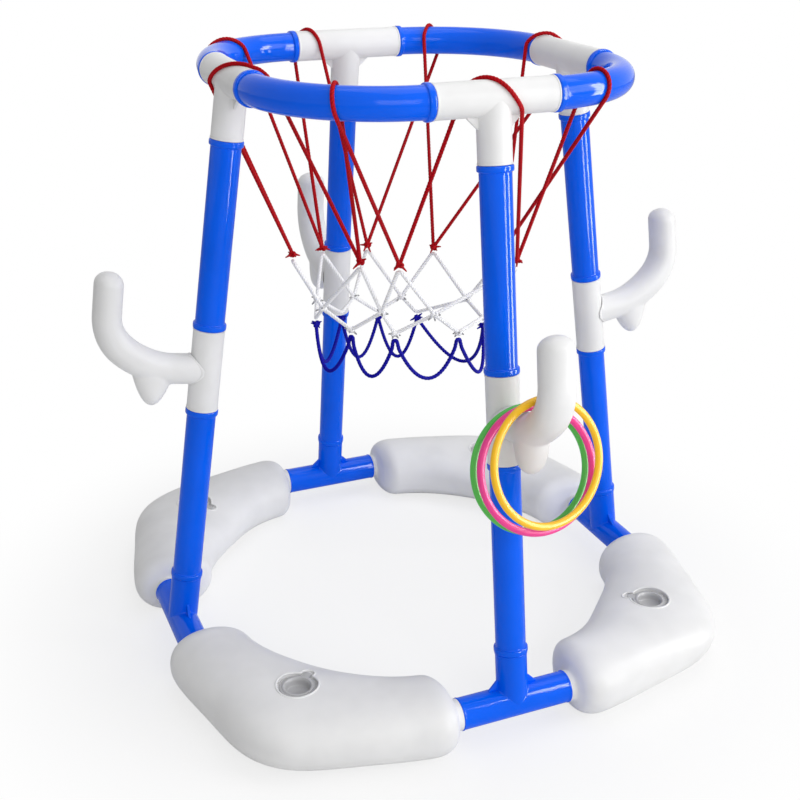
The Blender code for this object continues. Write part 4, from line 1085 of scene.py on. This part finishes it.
def ring_grid(centre, axis):
    """A torus about an axis: c + (R + r cos b) spoke(a) + r sin b axis, r eased at b = 0."""
    axis = unit(np.array(axis))
    level = unit(np.cross(axis, (0.0, 0.0, 1.0)))
    rise = np.cross(level, axis)
    around, section = turns(RING_ROWS)[:, None, None], turns(RING_SIDES)[None, :, None]
    spoke = np.cos(around) * rise + np.sin(around) * level
    thick = RING_SECTION + RIDGE_HEIGHT * np.exp(-(np.sin(section / 2) / RIDGE_WIDTH) ** 2)
    points = centre + (RING_RADIUS + thick * np.cos(section)) * spoke + thick * np.sin(section) * axis
    return grid(points, closed=True)


swing_axes = {joint["name"]: joint["axis"] for joint in frame["record"]["behaviour"]["joints"]}
for colour, finish in RING_PLASTIC.items():
    centre = np.mean(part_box(f"throwing_ring_{colour}"), axis=0)
    ring = make_mesh("ring", [ring_grid(centre, swing_axes[f"ring_swing_{colour}"])])
    add_piece(f"throwing_ring_{colour}", ring, finish, body=f"ring_{colour}")
    print(colour, "ring centre", *(centre / MM).round(1), "mm")

# %% [markdown]
# ## Cord net
#
# The net is knotted from twisted cord: eight red loops over the hoop, a white band of
# diamonds below them, and blue loops that hang free at the bottom. Its knots hold it, so its
# cords aren't free cords. Their routes are the frame's own: a list of where each knot hangs,
# and formulas for what lies between. A curve with a round section would look like wire. So
# each route is swept with a section of three lobes that turn as it goes, which is what laid
# cord looks like up close. The cord is soft, so it is swept a little thicker than the rod that
# its route keeps room for, and it presses lightly on the tube.

# %% Cord finish
CORD_RADIUS = 1.9 * MM
YARN_RADIUS = 2.2 * MM
CORD_PITCH = 11.0 * MM
FUZZ_SCALE, PATCH_SCALE, PATCH_RANGE = 2600.0, 60.0, (0.45, 0.75)
FIBRE_HEIGHT = 0.25 * MM


def laid_cord(name, colour, groove_shade, tip):
    """Cord: painted shade in the grooves between the strands and a lighter tone on their crests, fuzzy
    all over, with another colour on cut ends.
    """
    finish = material(name)
    place = finish.node("ShaderNodeTexCoord", output="Object")
    lay = finish.node("ShaderNodeUVMap", {"uv_map": "lay"})
    along = finish.node("ShaderNodeSeparateXYZ", None, {0: lay}, 0)
    round_it = finish.node("ShaderNodeSeparateXYZ", None, {0: lay}, 1)
    phase = 3 * math.pi * (round_it - along * (1 / CORD_PITCH))
    strand = abs(phase.maths("COSINE", phase))
    fuzz = finish.noise(place, FUZZ_SCALE, 3.0)
    patch = finish.between(*PATCH_RANGE, finish.noise(place, PATCH_SCALE, 2.0))
    # The strand pattern is painted shade: darker in the grooves between the strands and lighter on their
    # crests. The fuzz adds random fibre tone.
    strand_shade_and_fuzz = finish.blend(strand * 0.75 + 0.5 * fuzz, tone(colour, groove_shade), tone(colour, 1.15))
    worn = finish.blend(patch * 0.35, strand_shade_and_fuzz, tone(colour, 0.8))
    tint = finish.node("ShaderNodeAttribute", {"attribute_name": "tint"}, output="Fac")
    shade = finish.blend(tint, worn, tone(tip, 1.0))
    fibres = finish.bump(fuzz + 0.6 * strand, FIBRE_HEIGHT)
    return finish.surface({
        "Base Color": shade,
        "Roughness": 0.72 + 0.15 * fuzz,
        "Normal": fibres,
        "Specular IOR Level": 0.10,
    })


# The third number sets the painted shade in the grooves between the strands.
RED_CORD = laid_cord("red_cord", (0.44, 0.001, 0.006), 0.50, (0.40, 0.001, 0.006))
WHITE_CORD = laid_cord("white_cord", (0.90, 0.90, 0.90), 0.80, (0.30, 0.30, 0.31))
BLUE_CORD = laid_cord("blue_cord", (0.004, 0.002, 0.34), 0.40, (0.003, 0.001, 0.25))
print("cord pitch", CORD_PITCH / MM, "mm")

# %% Cord routes
KNOT_RADIUS = 5.5 * MM
NET_TILT = 24.0 * MM
NET_LOW_SIDE = 65.0
RED_DROP, WHITE_DROP, LOWER_DROP, TAIL_DROP = 205.0 * MM, 264.0 * MM, 289.0 * MM, 341.0 * MM
RED_KNOTS = ((314, 127), (354, 111), (51, 109), (92, 118),
             (126, 118), (163, 130), (220, 113), (242, 118))
WHITE_KNOTS = ((262, 104), (322, 104), (20, 96), (72, 96),
               (108, 100), (140, 112), (186, 108), (230, 100))
LOWER_KNOTS = ((282, 94), (338, 86), (60, 90), (90, 94),
               (122, 97), (160, 106), (204, 92), (238, 95))
WHITE_TIED = (0, 6, 7)
LOOPS = ((264, 7, 276.5, 0), (305, 0, 301, 1), (20, 1, 10, 2), (63, 2, 57, 3),
         (101.5, 3, 107, 4), (132, 4, 141, 5), (199, 6, 173, 5), (228, 6, 230, 7))
KNOTS_AROUND = len(RED_KNOTS)
TAIL_POINTS = 16
BIGHT = 2.0 * MM
KNOT_GAP = 0.6 * MM
HANG = KNOT_RADIUS + KNOT_GAP + CORD_RADIUS
UP = np.array([0.0, 0.0, 1.0])


def net_spots(knots, drop):
    """Where knots hang: reach (cos a, sin a), and the hoop's height less drop and tilt."""
    knots = np.array(knots, float)
    angle, reach = np.radians(knots[:, 0]), knots[:, 1] * MM
    height = HOOP_HEIGHT - drop - NET_TILT * np.cos(angle - math.radians(NET_LOW_SIDE))
    return np.stack([reach * np.cos(angle), reach * np.sin(angle), height], axis=1)


red_spots = net_spots(RED_KNOTS, RED_DROP)
white_spots = net_spots(WHITE_KNOTS, WHITE_DROP)
lower_spots = net_spots(LOWER_KNOTS, LOWER_DROP)
print("red knots", *(red_spots[:, 2] / MM).round(), "mm up")


# %% Red cord round the hoop
def hoop_spot(degrees):
    """Tube centre, outward normal and clear radius where the hoop crosses an angle."""
    nearest = 90.0 * round(degrees / 90.0)
    off = math.radians(degrees - nearest)
    side = np.array(turn_z(nearest))[:3, :3]
    sideways = HOOP_HALF_WIDTH * math.tan(off)
    if abs(sideways) <= TEE_HALF:
        spot, normal = np.array([HOOP_HALF_WIDTH, sideways, 0.0]), np.array([1.0, 0.0, 0.0])
        bare = FITTING_RADIUS
        near_bead = abs(sideways) > TEE_HALF - 2 * BEAD_WIDTH
    else:
        corner = np.array([TEE_HALF, math.copysign(TEE_HALF, off), 0.0])
        spoke = np.array([math.cos(off), math.sin(off), 0.0])
        along = spoke @ corner
        spot = spoke * (along + math.sqrt(along ** 2 - corner @ corner + HOOP_CORNER_RADIUS ** 2))
        normal = unit(spot - corner)
        bare = TUBE_RADIUS
        near_bead = abs(spot[1]) < TEE_HALF + 2 * BEAD_WIDTH
    radius = BEAD_RADIUS if near_bead else bare
    return side @ spot + UP * HOOP_HEIGHT, side @ normal, radius


def lean_to(degrees, knot):
    """How far from straight down a cord leans inward between the tube and a knot."""
    centre, normal, _ = hoop_spot(degrees)
    away = knot - centre
    return math.atan2(-away @ normal, -away[2])


def red_route(inner_angle, inner_knot, outer_angle, outer_knot, steps=28):
    """Up from a knot, round the tube through an arc, and down to the next knot."""
    first, last = red_spots[inner_knot], red_spots[outer_knot]
    start = math.pi - lean_to(inner_angle, first)
    end = -lean_to(outer_angle, last)
    points = [first]
    for share in np.linspace(0.0, 1.0, steps):
        centre, normal, radius = hoop_spot(inner_angle + (outer_angle - inner_angle) * share)
        turn = start + (end - start) * share
        wrap = radius + CORD_RADIUS
        points.append(centre + wrap * (math.cos(turn) * normal + math.sin(turn) * UP))
    return np.array(points + [last])


print("hoop spot at 305 degrees:", *(hoop_spot(305.0)[0] / MM).round(1), "mm")

# %% White and blue routes
def bight(spot):
    """Two points that turn a cord back on itself round the net's edge."""
    forward = BIGHT * unit(np.array([-spot[1], spot[0], 0.0]))
    return [spot - forward, spot + forward]


def white_routes():
    """Two closed zigzags through the white knots: under the red knots, over the lower ones."""
    upper, lower = [], []
    for i in range(KNOTS_AROUND):
        following = white_spots[(i + 1) % KNOTS_AROUND]
        upper += bight(red_spots[i] - UP * HANG) + [following]
        lower += [lower_spots[i]] if i in WHITE_TIED else bight(lower_spots[i] + UP * HANG)
        lower.append(following)
    return np.array(upper), np.array(lower)


def tail_route():
    """The blue cord: parabolas 1 - (2s - 1)^2 that hang between the lower knots."""
    ends = [spot - UP * HANG * (i in WHITE_TIED) for i, spot in enumerate(lower_spots)]
    points = []
    for i in range(KNOTS_AROUND):
        following = (i + 1) % KNOTS_AROUND
        points += bight(ends[i]) if i in WHITE_TIED else [ends[i]]
        first, last = np.array(LOWER_KNOTS[i], float), np.array(LOWER_KNOTS[following], float)
        sweep = np.array([(last[0] - first[0]) % 360.0, last[1] - first[1]])
        share = np.linspace(0.0, 1.0, TAIL_POINTS + 2)[1:-1, None]
        low = net_spots(first + sweep * share, TAIL_DROP)
        edge = ends[i][2] + (ends[following][2] - ends[i][2]) * share[:, 0]
        low[:, 2] = edge + (low[:, 2] - edge) * (1 - (2 * share[:, 0] - 1) ** 2)
        points += list(low)
    return np.array(points)


print("white runs:", [len(route) for route in white_routes()], "points, tails:", len(tail_route()))

# %% Cord sweeps
CORD_STEP = 0.75 * MM


def evenly(route, closed, width):
    """Points CORD_STEP apart along a route, its corners eased by a mean of this width."""
    route = divided(route, CORD_STEP, closed)
    if closed:
        return smoothed(route, width, "wrap")
    return smoothed(route, width, "reflect", reflect_type="odd")


def swept(route, side, radius, lobes, sides=12, closed=False, tint=0.0):
    """Carry a section along a route: p + r(b) (cos b N + sin b T x N).

    N is the side direction less its share along the tangent T. With lobes d, the radius is
    R (1 - d + d |cos(3 (b - 2 pi s / pitch) / 2)|), three strands that turn once a pitch.
    """
    ahead = loop_ahead(route) if closed else unit(np.gradient(route, axis=0))
    side = np.broadcast_to(side, route.shape)
    normal = unit(side - (side * ahead).sum(axis=1, keepdims=True) * ahead)
    other = np.cross(ahead, normal)
    angle = turns(sides)
    phase = 1.5 * (angle - 2 * np.pi * running(route)[:, None] / CORD_PITCH)
    reach = np.reshape(radius, (-1, 1)) * (1 - lobes + lobes * np.abs(np.cos(phase)))
    round_it = angle[:, None]
    points = route[:, None] + reach[..., None] * (np.cos(round_it) * normal[:, None]
                                                  + np.sin(round_it) * other[:, None])
    if not closed:
        points = closed_ends(points)
        tint = np.pad(np.broadcast_to(tint, len(route)), 1, mode="edge")
    return grid(points, closed, tint)


def outward_of(route):
    """The level direction away from the hoop's axis at every point of a route."""
    return unit(route * (1.0, 1.0, 0.0))


print("cord step", CORD_STEP / MM, "mm")

# %% [markdown]
# Each knot is a small overhand lump with cut ends. A trefoil curve is the simplest closed
# overhand knot, so it is swept with the cord's own section, and a few short, tapering ends
# stick out of it. The white knots' ends are grey, as if sealed with heat.

# %% Knots
KNOT_SIZE = 1.05 * MM
KNOT_DEPTH = 1.3
KNOT_LOBES, END_LOBES = 0.12, 0.10
KNOT_SIDES, KNOT_ROWS, END_ROWS = 10, 84, 12
KNOT_ENDS = 5
END_SPREAD, END_RISE = 0.35, 0.75
END_DROOPS, END_LENGTHS = (0.5, 2.0), (0.75, 1.1)
END_THICKNESS, END_TAPER = 0.95, 0.62


def knot_grids(spot, seed, length, tint):
    """A trefoil (sin t + 2 sin 2t, cos t - 2 cos 2t, -k sin 3t), turned at random, and its ends.

    An end runs straight from the middle, droops as s^2 and tapers as 1 - s^1.5.
    """
    chance = np.random.default_rng(seed)
    angle = turns(KNOT_ROWS)
    curve = KNOT_SIZE * xyz(np.sin(angle) + 2 * np.sin(2 * angle),
                            np.cos(angle) - 2 * np.cos(2 * angle), -KNOT_DEPTH * np.sin(3 * angle))
    turn = np.array(Matrix.Rotation(chance.uniform(0, 6.3), 3, "Z")
                    @ Matrix.Rotation(chance.uniform(-0.5, 0.5), 3, "X"))
    curve = curve @ turn.T + spot
    pull = np.roll(curve, -1, axis=0) + np.roll(curve, 1, axis=0) - 2 * curve
    grids = [swept(curve, pull, CORD_RADIUS, KNOT_LOBES, KNOT_SIDES, closed=True)]
    share = np.linspace(0.0, 1.0, END_ROWS)
    start = chance.uniform(0, 2 * np.pi)
    for i in range(KNOT_ENDS):
        around = start + 2 * np.pi * i / KNOT_ENDS + chance.uniform(-END_SPREAD, END_SPREAD)
        rise = chance.uniform(-END_RISE, END_RISE)
        aim = np.array([math.cos(around) * math.cos(rise), math.sin(around) * math.cos(rise),
                        math.sin(rise)])
        droop = -UP * chance.uniform(*END_DROOPS) * MM
        reach = length * chance.uniform(*END_LENGTHS)
        route = spot + share[:, None] * reach * aim + (share ** 2)[:, None] * droop
        thick = CORD_RADIUS * (END_THICKNESS - END_TAPER * share ** 1.5)
        side = np.cross(aim, (0.3, 0.4, 0.86))
        tip_tint = tint * np.clip(2 * share - 0.7, 0, 1)
        grids.append(swept(route, side, thick, END_LOBES, KNOT_SIDES, tint=tip_tint))
    return grids


def add_net(node, finish, runs, lobes, closed, knots, seed, length, tint):
    """One colour of the net: (route, side) runs, and (number, spot) knots with their own seeds."""
    grids, total = [], 0.0
    for route, side in runs:
        grids.append(swept(route, side, YARN_RADIUS, lobes, closed=closed))
        total += running(np.vstack([route, route[:1]]) if closed else route)[-1]
    for number, spot in knots:
        grids += knot_grids(spot, seed + number, length, tint)
    add_piece(node, make_mesh(node, grids), finish, sharp=80.0)
    print(node, round(total, 3), "m of cord,", len(runs), "run(s),", len(knots), "knots")


# %% Red loops
LOOP_EASE_WIDTH = 21
red_runs = []
for loop in LOOPS:
    middle = math.radians((loop[0] + loop[2]) / 2)
    across = (-math.sin(middle), math.cos(middle), 0.0)
    red_runs.append((evenly(red_route(*loop), False, LOOP_EASE_WIDTH), across))
add_net("net_red_loops", RED_CORD, red_runs, lobes=0.16, closed=False,
        knots=list(enumerate(red_spots)), seed=10, length=9.0 * MM, tint=0.5)

# %% White diamonds
EDGE_EASE_WIDTH = 9
white_runs = [evenly(route, True, EDGE_EASE_WIDTH) for route in white_routes()]
white_knots = list(enumerate([*white_spots, *(lower_spots[i] for i in WHITE_TIED)]))
add_net("net_white_diamonds", WHITE_CORD, [(run, outward_of(run)) for run in white_runs],
        lobes=0.16, closed=True, knots=white_knots, seed=40, length=8.0 * MM, tint=1.0)

# %% Blue tails
blue_run = evenly(tail_route(), True, EDGE_EASE_WIDTH)
blue_knots = [(i, spot) for i, spot in enumerate(lower_spots) if i not in WHITE_TIED]
add_net("net_blue_tails", BLUE_CORD, [(blue_run, outward_of(blue_run))],
        lobes=0.18, closed=True, knots=blue_knots, seed=70, length=8.5 * MM, tint=0.5)

# %% [markdown]
# ## Floor and light
#
# The photograph is a plain studio picture: a white floor that runs into a white background,
# a soft light from above, a soft key light from the right and a fill from the front. Two
# strips stand nearer at the right. They light nothing but the gloss, and so draw two pale lines
# down the blue tubes without making them paler. The floor is a pale matt surface. The camera
# sees it brighter than it is lit, so that it reaches white while the lamps stay at a plain
# level and the object keeps its shadow. The world is plain white to the camera and in what
# shines, and lights the rest at a lower level.

# %% Floor and world
FLOOR_HALF = 6.0
FLOOR_DROP = 0.1 * MM
FLOOR_TONE = (0.88, 0.88, 0.88, 1.0)
PURE_WHITE = (1.0, 1.0, 1.0, 1.0)
FLOOR_GLOW = 0.70
FADE_START, FADE_END = 0.30, 0.60


def stage_floor():
    """A matt floor, seen brighter than it is lit, that fades to white far away."""
    finish = material("floor")
    seen = finish.node("ShaderNodeLightPath", output="Is Camera Ray")
    place = finish.node("ShaderNodeTexCoord", output="Object")
    away = finish.node("ShaderNodeVectorMath", {"operation": "LENGTH"}, {0: place}, "Value")
    matt = finish.node("ShaderNodeBsdfDiffuse", None, {"Color": FLOOR_TONE})
    white = finish.node("ShaderNodeEmission", None, {"Color": PURE_WHITE, "Strength": 1.0})
    share = seen * (FLOOR_GLOW + (1 - FLOOR_GLOW) * finish.between(FADE_START, FADE_END, away))
    return finish.shown(finish.node("ShaderNodeMixShader", None, {0: share, 1: matt, 2: white}))


corners = [(x * FLOOR_HALF, y * FLOOR_HALF, 0.0) for x, y in ((-1, -1), (1, -1), (1, 1), (-1, 1))]
floor_mesh = bpy.data.meshes.new("floor")
floor_mesh.from_pydata(corners, [], [(0, 1, 2, 3)])
floor_mesh.materials.append(stage_floor())
floor = bpy.data.objects.new("floor", floor_mesh)
floor.location.z = -FLOOR_DROP
bpy.context.scene.collection.objects.link(floor)

WORLD_LEVEL = 0.38
WHITE_RAYS = ("Is Camera Ray", "Is Transmission Ray", "Is Glossy Ray")
world = bpy.data.worlds.new("studio")
bpy.context.scene.world = world
sky = Finish(world)
camera_ray, through_ray, glossy_ray = (sky.node("ShaderNodeLightPath", output=ray)
                                       for ray in WHITE_RAYS)
seen_ray = camera_ray.maths("MAXIMUM", camera_ray, through_ray)
white_ray = seen_ray.maths("MAXIMUM", seen_ray, glossy_ray)
strength = WORLD_LEVEL + (1 - WORLD_LEVEL) * white_ray
backdrop = sky.node("ShaderNodeBackground", None, {"Color": PURE_WHITE, "Strength": strength})
sky.shown(backdrop, "ShaderNodeOutputWorld")
print("world level", WORLD_LEVEL)

# %% Lamps
def soft_lamp(name, place, target, width, height, power):
    """A rectangular lamp that looks from its place to a target."""
    data = bpy.data.lights.new(name, "AREA")
    data.shape = "RECTANGLE"
    data.size, data.size_y = width, height
    data.energy = power
    lamp = bpy.data.objects.new(name, data)
    lamp.location = place
    lamp.rotation_euler = (Vector(target) - Vector(place)).to_track_quat("-Z", "Y").to_euler()
    bpy.context.scene.collection.objects.link(lamp)
    return lamp


soft_lamp("overhead", (0.5, 0.2, 2.6), (0.0, 0.0, 0.2), width=1.8, height=1.8, power=18.0)
soft_lamp("right_key", (2.6, -2.0, 1.7), (0.0, 0.0, 0.3), width=1.8, height=2.0, power=55.0)
soft_lamp("front_fill", (-0.3, -2.6, 1.5), (0.0, 0.0, 0.3), width=1.6, height=1.2, power=23.0)
STRIP_LEVEL, STRIP_LENGTH = 0.76, 1.5
STRIPS = {"near_strip": (0.75, -1.25, 0.26, 34.0), "far_strip": (1.60, -0.75, 0.40, 46.0)}
for name, (x, y, width, power) in STRIPS.items():
    strip = soft_lamp(name, (x, y, STRIP_LEVEL), (0.0, 0.0, STRIP_LEVEL), width, STRIP_LENGTH, power)
    strip.visible_diffuse = False
